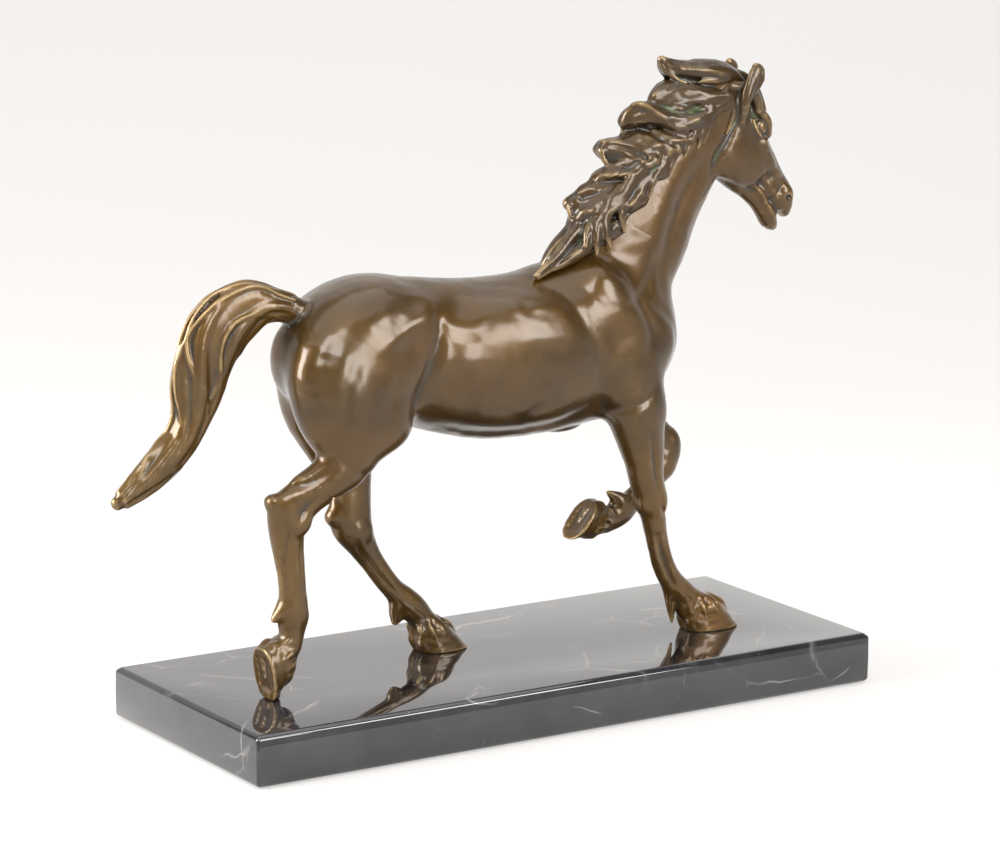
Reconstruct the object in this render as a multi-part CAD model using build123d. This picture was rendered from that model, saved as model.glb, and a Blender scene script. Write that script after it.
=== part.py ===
"""Bronze statuette of a trotting horse on a black marble base.

Frame: millimetres, +X towards the horse's head along the base's long side, +Y to the horse's left,
+Z up. The origin is the centre of the felt pad's underside, which is the face that the statuette
rests on.

The bronze is a sectional lost-wax casting: a hollow torso and a hollow neck, with the head, the mane,
the tail and the four legs cast on their own. Each joint is a flat face with a round spigot on one
casting and a socket in the other, held by a cross pin, then chased smooth. Threaded studs in the three
hooves that touch the marble pass down through it, and washers and nuts pull them up in counterbores
that the felt pad covers.
"""
from build123d import *
import os

# ---------------------------------------------------------------- driving dimensions
FELT_THICK = 1.0            # felt pad glued under the marble
FELT_INSET = 4.0            # felt edge, in from the marble's edge
BASE_LENGTH = 269.0         # marble slab, along X
BASE_WIDTH = 107.0          # marble slab, along Y
BASE_TOP = 20.0             # height of the polished top face
BASE_BEVEL = 1.2            # worn bevel round every long edge of the slab
BASE_CORNER = 2.0           # rounding of the slab's upright corners

WALL = 4.0                  # bronze wall of the hollow castings
CORE_PLUG_RADIUS = 1.0      # plugs in the holes that the core pins left
PIN_RADIUS = 0.8            # cross pins through the spigots
SPIGOT_GAP = 0.05           # radial slack of a spigot in its socket
END_GAP = 0.3               # room past a spigot's end

M4_RADIUS = 2.0             # studs in the two flat hooves
M3_RADIUS = 1.5             # stud in the hoof that stands on its toe
STUD_HOLE_SLACK = 0.5       # radial slack of a stud in the marble
NUT_POCKET_RADIUS = 6.0     # counterbore under the marble
NUT_POCKET_DEPTH = 8.0      # from the marble's underside
STUD_GRIP = 5.0             # length of stud inside a flat hoof
TOE_GRIP = 4.0              # length of stud inside the toe

BASE_UNDER = FELT_THICK     # height of the marble's underside


# ---------------------------------------------------------------- helpers
def ring(station, axis, seam_at_side=False):
    """Elliptical section of a limb. station is (x, y, z, width across, depth fore and aft)."""
    x, y, z, width, depth = station
    if seam_at_side:
        return Plane(origin=(x, y, z), x_dir=(0, 1, 0), z_dir=axis) * Ellipse(width / 2, depth / 2)
    plane = Plane(origin=(x, y, z), x_dir=axis.cross(Vector(0, 1, 0)).normalized(), z_dir=axis)
    return plane * Ellipse(depth / 2, width / 2)


def axes_along(stations):
    """Unit direction of the limb at each station, halfway between the runs on either side."""
    points = [Vector(*s[:3]) for s in stations]
    runs = [(b - a).normalized() for a, b in zip(points, points[1:])]
    middle = [(a + b).normalized() for a, b in zip(runs, runs[1:])]
    return [runs[0], *middle, runs[-1]]


def fair(stations, gap=7.0):
    """Adds stations on a smooth curve between the given ones, so that no loft swings wide of them."""
    points = [Vector(*s[:3]) for s in stations]
    along = [0.0]
    for a, b in zip(points, points[1:]):
        along.append(along[-1] + (b - a).length)
    last = len(stations) - 1
    slopes = []
    for i in range(len(stations)):
        low, high = max(i - 1, 0), min(i + 1, last)
        span = along[high] - along[low]
        slopes.append([(q - p) / span for p, q in zip(stations[low], stations[high])])
    result = [stations[0]]
    for i in range(last):
        length = along[i + 1] - along[i]
        pieces = max(1, round(length / gap))
        for k in range(1, pieces):
            t = k / pieces
            start, end = 2 * t**3 - 3 * t**2 + 1, 3 * t**2 - 2 * t**3
            leave, arrive = (t**3 - 2 * t**2 + t) * length, (t**3 - t**2) * length
            rows = zip(stations[i], stations[i + 1], slopes[i], slopes[i + 1])
            result.append(tuple(start * p + end * q + leave * m + arrive * n for p, q, m, n in rows))
        result.append(stations[i + 1])
    return result


def limb(stations, gap=7.0, seam_at_side=False):
    """Smooth solid through elliptical sections along a bent line."""
    dense = fair(stations, gap)
    return loft([ring(s, a, seam_at_side) for s, a in zip(dense, axes_along(dense))])


def ball(x, y, z, rx, ry, rz):
    """Ellipsoid with half-sizes rx, ry and rz, turned on a lathe and stretched."""
    return Pos(x, y, z) * scale(Sphere(1), (rx, ry, rz))


def rod(start, end, radius):
    """Round bar between two points."""
    a, b = Vector(*start), Vector(*end)
    plane = Plane(origin=a, z_dir=(b - a).normalized())
    return extrude(plane * Circle(radius), (b - a).length)


def largest(shape):
    """The biggest solid of a result, without the slivers that a cut can leave."""
    return max(shape.solids(), key=lambda s: s.volume)


def slab(length, width, bottom, top, corner):
    return Pos(0, 0, bottom) * extrude(RectangleRounded(length, width, corner), top - bottom)


# ---------------------------------------------------------------- stations of the casting
# Each is (x, y, z, width across, depth fore and aft).
BARREL = [                  # (x, top, bottom, half width)
    (-99.5, 145.5, 133.5, 4), (-97, 151, 128, 9), (-92, 158, 118, 16), (-80, 165, 110, 22), (-62, 170, 108, 26),
    (-38, 168, 111, 26.5), (-10, 164, 103, 27.5), (16, 166.5, 102, 27.5), (38, 169, 105, 25.5),
    (56, 164, 109, 22), (67, 155, 114, 17), (73, 145, 124, 10),
    (75.5, 140, 129, 5),
]
CORE_REACH = (-80, 56)      # reach of the core along the barrel
NECK = [(44, 0, 146, 30, 52), (51, 0, 162, 27, 50), (59, 0, 175.5, 23, 44), (68.5, 0, 190, 19, 38),
        (78.5, 0, 203.5, 17, 34), (89, 0, 215, 16, 29), (97, 0, 221, 15.5, 25)]
NECK_ROOT, NECK_TOP = 2, 5  # the neck's joint faces are at these stations

HEAD = [(101.5, 0, 228, 14, 20), (107.5, 0, 216, 19, 25), (109, 0, 205, 16.5, 25),
        (114, 0, 196, 12.5, 18), (120.5, 0, 188, 11, 15), (125.5, 0, 181, 10, 12),
        (128, 0, 177.5, 7, 7)]
CHIN = [(115, 0, 188, 8, 8), (118.5, 0, 181, 7.5, 8), (120.5, 0, 175.5, 6.5, 7)]
EAR = [(105, 7, 226, 5.5, 6), (107.5, 8.5, 231, 6, 6.5), (109, 9, 234.5, 4.5, 5), (110, 9, 237, 2, 2)]

TAIL = [(-83, 0, 156, 12, 14), (-91, 0, 160, 10, 11), (-98, 0, 162, 9, 12), (-107.5, 0, 162.5, 10, 19),
        (-117, 0, 157.5, 11, 23.5), (-123, 0, 151, 11, 24), (-127, 0, 142.5, 10.5, 22),
        (-129.5, 0, 133, 10, 18), (-131.5, 0, 125.5, 9, 14), (-135, 0, 118.5, 9, 12.5),
        (-140, 0, 112.5, 9, 14), (-147, 0, 106, 8, 13), (-154.5, 0, 100.5, 6.5, 10),
        (-161.5, 0, 96.5, 4.5, 5.5)]
TAIL_ROOT = 1

FORELEG_RIGHT = [(54, -11, 138, 20, 34), (50, -17, 124, 19, 31), (49.5, -19, 110, 17.5, 23),
                 (53, -18.5, 96, 13.5, 17.5), (55.5, -18, 84, 11, 12.5), (58, -17, 75, 11, 11.8),
                 (60.5, -16, 66, 8.5, 9), (63.5, -15, 54.5, 7, 7.6), (67.5, -14, 45, 7.2, 8),
                 (74, -13.5, 36.5, 8.5, 9.5), (80.5, -13, 31.5, 9.5, 11), (87, -13, 27.5, 11, 11)]
FORELEG_LEFT = [(56, 11, 138, 20, 34), (58, 17, 124, 19, 29), (62.5, 18, 111, 17, 21),
                (71, 16.5, 100, 13.5, 17), (79.5, 15, 91.5, 11, 13.5), (84.5, 14, 84, 11, 13),
                (80, 12.5, 76, 9, 11), (72, 10.5, 71, 7.5, 8.5), (65, 9, 67, 8.5, 9.5),
                (59, 8, 64, 8.5, 9.5), (53, 7.5, 62, 10, 9.5)]
FORELEG_JOINT = 2           # the casting joint is at this station

HINDLEG_RIGHT = [(-74, -11, 146, 24, 40), (-77, -16, 128, 23, 42), (-77, -20, 114, 18, 30),
                 (-83, -20.5, 104.5, 14, 19), (-91, -19.5, 98, 12.5, 16), (-100, -18, 92, 11.5, 16),
                 (-102.5, -17.3, 84, 10.5, 13.5), (-101.8, -16.8, 75.5, 8.6, 11.8),
                 (-100, -16.2, 64, 8.4, 10.8), (-99.4, -16, 56, 8.8, 10.8), (-99.5, -15.7, 49.5, 9.5, 13),
                 (-99.6, -15.3, 43, 8.5, 8.6), (-101.5, -15, 37.5, 11, 11)]
HINDLEG_LEFT = [(-62, 11, 146, 24, 40), (-54, 16, 128, 23, 38), (-47, 19.5, 114, 18, 27),
                (-48, 19.5, 102, 14, 18), (-51, 18.5, 90, 12, 14.5), (-55.5, 17, 77, 11.5, 16),
                (-53.5, 16, 68, 10.5, 13.5), (-49.5, 15.2, 60.5, 8.6, 10), (-43.5, 14.8, 52, 8.2, 9),
                (-36.5, 14.4, 44, 8.6, 9), (-29.5, 14, 37.5, 9.5, 11.5), (-24, 14, 31.5, 10.5, 11)]
HINDLEG_RIGHT_JOINT, HINDLEG_LEFT_JOINT = 4, 3

# Hooves: coronet ring then sole ring, each ((x, y, z), outward axis, width across, depth).
HOOF_FORE_RIGHT = [((87, -13, 29), (0.25, 0, -0.97), 13, 15), ((89, -13, BASE_TOP), (0, 0, -1), 17, 24)]
HOOF_HIND_LEFT = [((-22.5, 14, 30), (0.3, 0, -0.95), 13, 14), ((-18.5, 14, BASE_TOP), (0, 0, -1), 17, 22)]
HOOF_HIND_RIGHT = [((-101.5, -15, 38), (-0.4, 0, -0.92), 12.5, 14),
                   ((-110, -14.3, 26.5), (-0.955, 0, -0.3), 15, 21)]
HOOF_FORE_LEFT = [((53, 7.5, 62.5), (-0.99, 0, 0.1), 12, 11), ((42.5, 7, 64), (-0.83, 0, 0.55), 14.5, 15)]

# Bony bumps, (x, y, z, half-sizes): hock points, ergots behind the fetlocks, cheeks and brows.
BUMPS = {
    "foreleg_right": [(75, -13, 29.5, 3.5, 3.5, 5.5)],
    "foreleg_left": [(59.5, 8, 70, 3.5, 3, 4)],
    "hindleg_right": [(-107, -17.6, 93.5, 4.2, 4, 4), (-105, -15.7, 50.5, 3.5, 3, 3)],
    "hindleg_left": [(-62.5, 16.8, 76, 4, 4, 4.5), (-35.5, 14, 33.5, 3.8, 3.2, 3.2)],
    "head": [(101, 4.5, 200, 9.5, 4, 8.5), (101, -4.5, 200, 9.5, 4, 8.5), (114.5, 6.5, 213.5, 4, 3, 3.5),
             (114.5, -6.5, 213.5, 4, 3, 3.5), (112.5, 0, 227, 5.5, 5, 5)],
}

CREST = [(24, 0, 172, 8, 8), (33, 0, 184, 9, 14), (43, 0, 196, 10, 16), (54, 0, 208, 10, 16),
         (66, 0, 221, 10, 15), (81, 0, 231.5, 9.5, 13), (96, 0, 233.5, 9, 9)]
LOCKS = [                   # five swept-back tufts of the mane, from the poll down to the withers
    [(96, 0, 231, 9, 8), (87, 1, 235.5, 10, 7), (79, 1.5, 237.5, 8, 6), (73, 2, 240, 3, 3)],
    [(80, -1, 221, 11, 12), (70, 0, 222, 11, 10), (62, 1, 222, 9, 8), (56.5, 2, 219.5, 3.5, 4)],
    [(67, -2, 206, 11, 12), (58, 0, 206.5, 11, 10), (51, 1, 208, 9, 7), (45, 2, 209.5, 3.5, 3)],
    [(53, -2, 189, 11, 12), (45, 0, 191, 11, 10), (37, 1, 192, 8, 7), (29, 2, 191.5, 3, 3)],
    [(40, -2, 179, 10, 11), (32, -1, 176, 9, 9), (25, -1, 171, 7, 7), (18, -2, 165.5, 3, 3)],
]

# (x, y, z, width, depth) of the core inside the neck, short of the joint faces
NECK_CORE = [(62.5, 0, 181, 12, 30), (68.5, 0, 190, 11, 29), (75.5, 0, 199.5, 9.5, 26)]
LEG_SPIGOT, LEG_SPIGOT_RADIUS = 8.0, 4.0
TAIL_SPIGOT, TAIL_SPIGOT_RADIUS = 7.0, 2.5
NECK_SPIGOT, NECK_SPIGOT_RADIUS = 9.0, 7.0
HEAD_SPIGOT, HEAD_SPIGOT_RADIUS = 6.0, 4.0
MANE_PINS = [((43.5, 0, 197), (50, 0, 192.4)), ((57, 0, 211), (63, 0, 206))]    # crest into neck

CORE_PLUG_SPOTS = [(-45, 1), (-45, -1), (-5, 1), (-5, -1), (32, 1), (32, -1)]   # (x, side of the barrel)
CORE_PLUG_HEIGHT = 140.0

STUDS = {                   # hoof: (x, y, thread radius, grip inside the hoof)
    "right_fore": (88.0, -13.0, M4_RADIUS, STUD_GRIP),
    "left_hind": (-20.0, 14.0, M4_RADIUS, STUD_GRIP),
    "right_hind": (-106.3, -14.3, M3_RADIUS, TOE_GRIP),
}
# thread radius: (washer outer radius, bore radius, thickness, nut width across flats, nut height)
FASTENERS = {M4_RADIUS: (4.5, 2.15, 0.8, 7.0, 3.2), M3_RADIUS: (3.5, 1.6, 0.5, 5.5, 2.4)}
STUD_PROUD = 1.2            # thread past the nut


# ---------------------------------------------------------------- castings
def barrel(inset=0.0):
    """Body of the horse from rump to breast; inset shrinks it for the core."""
    stations = [(x, 0, (top + bottom) / 2, 2 * half, top - bottom) for x, top, bottom, half in BARREL]
    stations = [s for s in stations if CORE_REACH[0] <= s[0] <= CORE_REACH[1]] if inset else fair(stations, 12.0)
    rings = []
    for x, y, z, width, height in stations:
        plane = Plane(origin=(x, y, z), x_dir=(0, 1, 0), z_dir=(1, 0, 0))
        rings.append(plane * Ellipse(width / 2 - inset, height / 2 - inset))
    return loft(rings)


def hoof(rings):
    """Hoof from the coronet to the sole."""
    faces = []
    for centre, axis, width, depth in rings:
        normal = Vector(*axis).normalized()
        plane = Plane(origin=centre, x_dir=normal.cross(Vector(0, 1, 0)).normalized(), z_dir=normal)
        faces.append(plane * Ellipse(depth / 2, width / 2))
    return loft(faces)


def split_limb(stations, joint):
    """(part cast with the torso, part cast on its own, joint station, limb's direction there)."""
    dense = fair(stations)
    axes = axes_along(dense)
    rings = [ring(s, a) for s, a in zip(dense, axes)]
    at = dense.index(stations[joint])
    return loft(rings[: at + 1]), loft(rings[at:]), dense[at], axes[at]


def joined(casting, host, station, axis, length, radius):
    """Spigot on the casting and socket in the host. Returns both, and the flush cross pin."""
    centre = Vector(*station[:3])
    side = Vector(0, 1 if station[1] > 0 else -1, 0)
    middle = centre - axis * (length / 2)
    pin = largest(rod(middle - side * (radius + 1.5), middle + side * 40, PIN_RADIUS) & host)
    casting = casting + rod(centre + axis * (length / 4), centre - axis * length, radius)
    host = host - rod(centre, centre - axis * (length + END_GAP), radius + SPIGOT_GAP)
    return largest(casting - pin), largest(host - pin), pin


def above_base(shape):
    """Cuts away what would sink into the marble, which leaves a flat contact under the hoof."""
    return shape - Pos(0, 0, BASE_TOP - 20) * Box(400, 200, 40)


# Whole limbs first, each in two lofts that share the joint's ellipse.
parts = {
    "foreleg_right": (*split_limb(FORELEG_RIGHT, FORELEG_JOINT), HOOF_FORE_RIGHT),
    "foreleg_left": (*split_limb(FORELEG_LEFT, FORELEG_JOINT), HOOF_FORE_LEFT),
    "hindleg_right": (*split_limb(HINDLEG_RIGHT, HINDLEG_RIGHT_JOINT), HOOF_HIND_RIGHT),
    "hindleg_left": (*split_limb(HINDLEG_LEFT, HINDLEG_LEFT_JOINT), HOOF_HIND_LEFT),
}
neck_line = fair(NECK)
neck_axes = axes_along(neck_line)
neck_rings = [ring(s, a) for s, a in zip(neck_line, neck_axes)]
root, top = neck_line.index(NECK[NECK_ROOT]), neck_line.index(NECK[NECK_TOP])
tail_dock, tail, tail_station, tail_axis = split_limb(TAIL, TAIL_ROOT)

body, withers = barrel(), loft(neck_rings[: root + 1])
torso = body + withers + tail_dock
for upper, *_ in parts.values():
    torso += upper
neck = loft(neck_rings[root: top + 1])
head = limb(HEAD, 20.0, seam_at_side=True) + loft(neck_rings[top:]) + limb(CHIN) + limb(EAR) + mirror(limb(EAR), about=Plane.XZ)
for bump in BUMPS["head"]:
    head += ball(*bump)
neck = largest(neck - head)

legs = {}
for name, (upper, lower, station, axis, hoof_rings) in parts.items():
    leg = lower + hoof(hoof_rings)
    for bump in BUMPS[name]:
        leg += ball(*bump)
    legs[name] = largest(above_base(leg))
    torso -= legs[name]
torso = largest(torso - tail - neck)
mane = limb(CREST)
for lock in LOCKS:
    mane += limb(lock)
mane = largest(mane - head - neck - withers - body)

# Castings are hollow where a core was, and the core pins' holes are plugged.
torso = torso - barrel(WALL)
plugs = []
for x, side in CORE_PLUG_SPOTS:
    drill = rod((x, side * 8, CORE_PLUG_HEIGHT), (x, side * 40, CORE_PLUG_HEIGHT), CORE_PLUG_RADIUS)
    plugs.append(largest(drill & torso))
    torso = torso - plugs[-1]
neck = neck - limb(NECK_CORE)

# Spigots, sockets and cross pins.
pins = []
for name, (upper, lower, station, axis, hoof_rings) in parts.items():
    legs[name], torso, pin = joined(legs[name], torso, station, axis, LEG_SPIGOT, LEG_SPIGOT_RADIUS)
    pins.append(pin)
tail, torso, pin = joined(tail, torso, tail_station, tail_axis, TAIL_SPIGOT, TAIL_SPIGOT_RADIUS)
pins.append(pin)
neck, torso, pin = joined(neck, torso, neck_line[root], neck_axes[root], NECK_SPIGOT, NECK_SPIGOT_RADIUS)
pins.append(pin)
head, neck, pin = joined(head, neck, neck_line[top], neck_axes[top], HEAD_SPIGOT, HEAD_SPIGOT_RADIUS)
pins.append(pin)
for start, end in MANE_PINS:
    pin = rod(start, end, PIN_RADIUS)
    mane, neck = largest(mane - pin), largest(neck - pin)
    pins.append(pin)

# Base, and what holds the bronze down to it.
marble = slab(BASE_LENGTH, BASE_WIDTH, BASE_UNDER, BASE_TOP, BASE_CORNER)
flat_edges = marble.edges().filter_by(lambda e: abs(e.center().Z - BASE_TOP) < 0.01
                                      or abs(e.center().Z - BASE_UNDER) < 0.01)
marble = chamfer(flat_edges, BASE_BEVEL)
felt = slab(BASE_LENGTH - 2 * FELT_INSET, BASE_WIDTH - 2 * FELT_INSET, 0, FELT_THICK, BASE_CORNER)
pocket_top = BASE_UNDER + NUT_POCKET_DEPTH
hoof_of = {"right_fore": "foreleg_right", "left_hind": "hindleg_left", "right_hind": "hindleg_right"}
studs, washers, nuts = {}, {}, {}
for place, (x, y, radius, grip) in STUDS.items():
    washer_radius, bore, thick, flats, height = FASTENERS[radius]
    marble -= rod((x, y, 0), (x, y, BASE_TOP + 1), radius + STUD_HOLE_SLACK)
    marble -= rod((x, y, 0), (x, y, pocket_top), NUT_POCKET_RADIUS)
    under_washer = pocket_top - thick
    foot = under_washer - height
    stud = rod((x, y, foot - STUD_PROUD), (x, y, BASE_TOP + grip), radius)
    washer = rod((x, y, under_washer), (x, y, pocket_top), washer_radius)
    washer -= rod((x, y, 0), (x, y, BASE_TOP), bore)
    nut = Pos(x, y, foot) * extrude(RegularPolygon(flats / 2, 6, major_radius=False), height) - stud
    name = hoof_of[place]
    legs[name] = largest(legs[name] - stud)
    size = "m4" if radius == M4_RADIUS else "m3"
    studs.setdefault(size, []).append(stud)
    washers.setdefault(size, []).append(washer)
    nuts.setdefault(size, []).append(nut)

# ---------------------------------------------------------------- one file for each piece
nodes = {
    "marble_base": [marble],
    "felt_pad": [felt],
    "torso": [torso],
    "neck": [neck],
    "head": [head],
    "mane": [mane],
    "tail": [tail],
    **{name: [leg] for name, leg in legs.items()},
    "joint_pins": pins,
    "core_plugs": plugs,
    "hoof_studs_m4": studs["m4"],
    "toe_stud_m3": studs["m3"],
    "washers_m4": washers["m4"],
    "washer_m3": washers["m3"],
    "nuts_m4": nuts["m4"],
    "nut_m3": nuts["m3"],
}
os.makedirs("parts", exist_ok=True)
for name, solids in nodes.items():
    separate = [solid for shape in solids for solid in shape.solids()]
    export_step(separate[0] if len(separate) == 1 else Compound(children=separate), f"parts/{name}.step")
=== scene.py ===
"""Bronze statuette of a trotting horse on a black marble base: the visual model.

The horse is modelled as a solid field in millimetres: elliptical tubes along bent lines, balls and
strokes that raise or press in the surface. Each casting takes its own part of that field as a closed
mesh. The marble slab is a stack of rounded outlines, drilled for the studs. The felt pad and the
fasteners are the CAD's own, with new materials.
"""
from copy import copy
from math import cos, pi, radians, sin
import bmesh
import bpy
import numpy as np
from mathutils import Matrix, Vector


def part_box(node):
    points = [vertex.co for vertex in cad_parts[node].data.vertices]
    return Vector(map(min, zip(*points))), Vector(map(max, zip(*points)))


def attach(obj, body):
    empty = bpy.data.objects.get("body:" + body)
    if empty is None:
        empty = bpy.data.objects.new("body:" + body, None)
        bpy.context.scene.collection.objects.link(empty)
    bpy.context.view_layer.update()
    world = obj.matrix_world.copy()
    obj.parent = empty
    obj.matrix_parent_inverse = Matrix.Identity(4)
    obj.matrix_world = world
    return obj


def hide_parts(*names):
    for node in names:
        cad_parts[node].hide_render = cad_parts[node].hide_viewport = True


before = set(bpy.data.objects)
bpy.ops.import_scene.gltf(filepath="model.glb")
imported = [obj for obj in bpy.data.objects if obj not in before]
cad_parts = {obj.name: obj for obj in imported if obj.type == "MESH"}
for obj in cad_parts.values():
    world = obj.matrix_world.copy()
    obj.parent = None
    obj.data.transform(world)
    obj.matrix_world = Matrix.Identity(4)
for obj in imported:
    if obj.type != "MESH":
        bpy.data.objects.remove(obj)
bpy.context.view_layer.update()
MM = 0.001
BASE_TOP = 20.0
SOFTNESS = 1.3              # how far the joined masses are smoothed into each other, in millimetres
FAR = 30.0                  # a field's value where nothing is near
f32 = np.float32            # number type of the grids


# ---------------------------------------------------------------- the field
class Field:
    """Signed distance to the horse's surface on a grid, negative inside, in millimetres."""

    def __init__(self, low, high, pitch):
        self.pitch = pitch
        self.low = np.array(low, dtype=f32)
        self.count = np.ceil((np.array(high) - self.low) / pitch).astype(int) + 1
        self.axes = [self.low[i] + pitch * np.arange(self.count[i], dtype=f32) for i in range(3)]
        self.value = np.full(self.count, FAR, dtype=f32)

    def window(self, low, high):
        """Slices and open coordinate arrays of the grid inside a box, or None."""
        slices = []
        for i in range(3):
            first = max(int(np.floor((low[i] - self.low[i]) / self.pitch)), 0)
            last = min(int(np.ceil((high[i] - self.low[i]) / self.pitch)) + 1, self.count[i])
            if last - first < 2:
                return None
            slices.append(slice(first, last))
        return (tuple(slices), *np.ix_(*(axis[part] for axis, part in zip(self.axes, slices))))

    def join(self, slices, other, blend, carve=False):
        """Smooth union with another solid, or smooth subtraction of it."""
        sign = -1 if carve else 1
        here = sign * self.value[slices]
        h = np.clip(0.5 + 0.5 * (here - other) / blend, 0, 1)
        self.value[slices] = sign * (here * (1 - h) + other * h - blend * h * (1 - h))


def dot(x, y, z, way):
    """Component of grid coordinates along a direction."""
    return x * f32(way[0]) + y * f32(way[1]) + z * f32(way[2])


def nearness(parts, radii):
    """Approximate signed distance to an ellipsoid, from coordinates already divided by its half-sizes."""
    k0 = np.sqrt(sum(p**2 for p in parts))
    k1 = np.sqrt(sum((p / r)**2 for p, r in zip(parts, radii)))
    return k0 * (k0 - 1) / np.maximum(k1, 1e-6)


def spline(points, step):
    """Points on a smooth curve through the given rows, about step apart in the first three columns."""
    rows = np.array(points, dtype=float)
    padded = np.vstack([2 * rows[0] - rows[1], rows, 2 * rows[-1] - rows[-2]])
    out = []
    for i in range(len(rows) - 1):
        a, b, c, d = padded[i], padded[i + 1], padded[i + 2], padded[i + 3]
        pieces = max(2, int(np.ceil(np.linalg.norm((c - b)[:3]) / step)))
        for k in range(pieces):
            t = k / pieces
            out.append(0.5 * (2 * b + (c - a) * t + (2 * a - 5 * b + 4 * c - d) * t * t
                              + (3 * b - a - 3 * c + d) * t**3))
    out.append(rows[-1])
    return np.array(out)


def tube(field, stations, blend=2.0, side=(0, 1, 0), step=2.5, carve=False, scale=1.0):
    """Bent tube of elliptical section. A station is (x, y, z, width along side, depth across it)."""
    line = spline(stations, step)
    line[:, 3:5] = np.maximum(line[:, 3:5], 0.3) * scale / 2
    reach = line[:, 3:5].max() + blend + 2 * field.pitch
    found = field.window(line[:, :3].min(axis=0) - reach, line[:, :3].max(axis=0) + reach)
    if found is None:
        return
    whole, *_ = found
    solid = np.full([s.stop - s.start for s in whole], FAR, dtype=f32)
    side = np.array(side, dtype=float)
    for a, b in zip(line[:-1], line[1:]):
        run = b[:3] - a[:3]
        length = float(np.linalg.norm(run))
        if length < 1e-6:
            continue
        w = run / length
        s = side - w * side.dot(w)
        s /= np.linalg.norm(s)
        v = np.cross(w, s)
        near = max(a[3:5].max(), b[3:5].max()) + blend + 2 * field.pitch
        found = field.window(np.minimum(a[:3], b[:3]) - near, np.maximum(a[:3], b[:3]) + near)
        if found is None:
            continue
        slices, x, y, z = found
        local = tuple(slice(max(p.start - q.start, 0), p.stop - q.start) for p, q in zip(slices, whole))
        x, y, z = x - f32(a[0]), y - f32(a[1]), z - f32(a[2])
        along = dot(x, y, z, w)
        t = np.clip(along / f32(length), 0, 1)
        over = along - t * f32(length)
        ra = f32(a[3]) + f32(b[3] - a[3]) * t
        rb = f32(a[4]) + f32(b[4] - a[4]) * t
        radii = (ra, rb, np.minimum(ra, rb))
        parts = [p / r for p, r in zip((dot(x, y, z, s), dot(x, y, z, v), over), radii)]
        solid[local] = np.minimum(solid[local], nearness(parts, radii))
    field.join(whole, solid, blend, carve)


def ball(field, centre, radii, blend=3.0, turn=(0, 0, 0), carve=False):
    """Ellipsoid, turned by degrees about Y, then Z, then X."""
    a, b, c = (radians(t) for t in turn)
    about_y = np.array([[cos(a), 0, sin(a)], [0, 1, 0], [-sin(a), 0, cos(a)]])
    about_z = np.array([[cos(b), -sin(b), 0], [sin(b), cos(b), 0], [0, 0, 1]])
    about_x = np.array([[1, 0, 0], [0, cos(c), -sin(c)], [0, sin(c), cos(c)]])
    m = about_x @ about_z @ about_y
    reach = max(radii) + blend + 2 * field.pitch
    centre = np.array(centre, dtype=float)
    found = field.window(centre - reach, centre + reach)
    if found is None:
        return
    slices, x, y, z = found
    x, y, z = x - f32(centre[0]), y - f32(centre[1]), z - f32(centre[2])
    radii = [f32(r) for r in radii]
    solid = nearness([dot(x, y, z, m[:, i]) / radii[i] for i in range(3)], radii)
    field.join(slices, solid, blend, carve)


def stroke(field, points, width, amount, side=0, step=1.0, depth=(-60, 60)):
    """Raises (amount > 0) or presses in a line of (x, z) points, drawn on the horse's side view.

    A third number scales the amount at its point. side -1 or 1 keeps the stroke to the right or left half
    of the horse, and depth bounds y.
    """
    rows = [(*p, 1.0) if len(p) == 2 else p for p in points]
    line = spline([(p[0], p[1], 0.0, p[2]) for p in rows], step)
    reach = 3 * width
    low, high = line.min(axis=0) - reach, line.max(axis=0) + reach
    right = max(depth[0], 0) if side > 0 else depth[0]
    left = min(depth[1], 0) if side < 0 else depth[1]
    found = field.window((low[0], right, low[1]), (high[0], left, high[1]))
    if found is None:
        return
    slices, x, _, z = found
    ends = np.sin(np.linspace(0, pi, len(line)))**0.5
    press = np.zeros(np.broadcast_shapes(x.shape, z.shape), dtype=f32)
    for row, end in zip(line, ends):
        near = np.exp(-((x - f32(row[0]))**2 + (z - f32(row[1]))**2) / f32(width**2))
        press = np.maximum(press, near * f32(row[3] * end))
    field.value[slices] -= f32(amount) * press


def blurred(values, times):
    """Copy of a grid smoothed by repeated three-cell means along each axis."""
    out = values.copy()
    for _ in range(times):
        for axis in range(3):
            lane = np.moveaxis(out, axis, 0)
            fresh = lane.copy()
            fresh[1:-1] = (lane[:-2] + lane[1:-1] + lane[2:]) / 3
            out = np.moveaxis(fresh, 0, axis)
    return out


def uneven(field, amount, size):
    """Irregular lumps and hollows of about a given size, as a modelling tool leaves them."""
    x, y, z = np.ix_(*field.axes)
    k = f32(2 * pi / size)
    a = np.sin(k * (0.61 * x + 0.83 * z) + 2 * np.sin(k * 0.43 * (y - x)))
    b = np.sin(k * (0.71 * z - 0.49 * x + 0.5 * y) + 2 * np.sin(k * 0.37 * (x + z)))
    c = np.sin(k * (0.9 * y + 0.31 * x) + 1.5 * np.sin(k * 0.53 * (z - y)))
    field.value += f32(amount) * (a * b + c * a)


def sample(field, grid, points):
    """Value of a grid at points, by the eight cells around each."""
    at = (points - field.low) / field.pitch
    base = np.clip(np.floor(at).astype(int), 0, field.count - 2)
    part = np.clip(at - base, 0, 1)
    total = np.zeros(len(points))
    for corner in range(8):
        step = np.array([(corner >> i) & 1 for i in range(3)])
        weight = np.prod(np.where(step, part, 1 - part), axis=1)
        index = base + step
        total += weight * grid[index[:, 0], index[:, 1], index[:, 2]]
    return total


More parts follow.
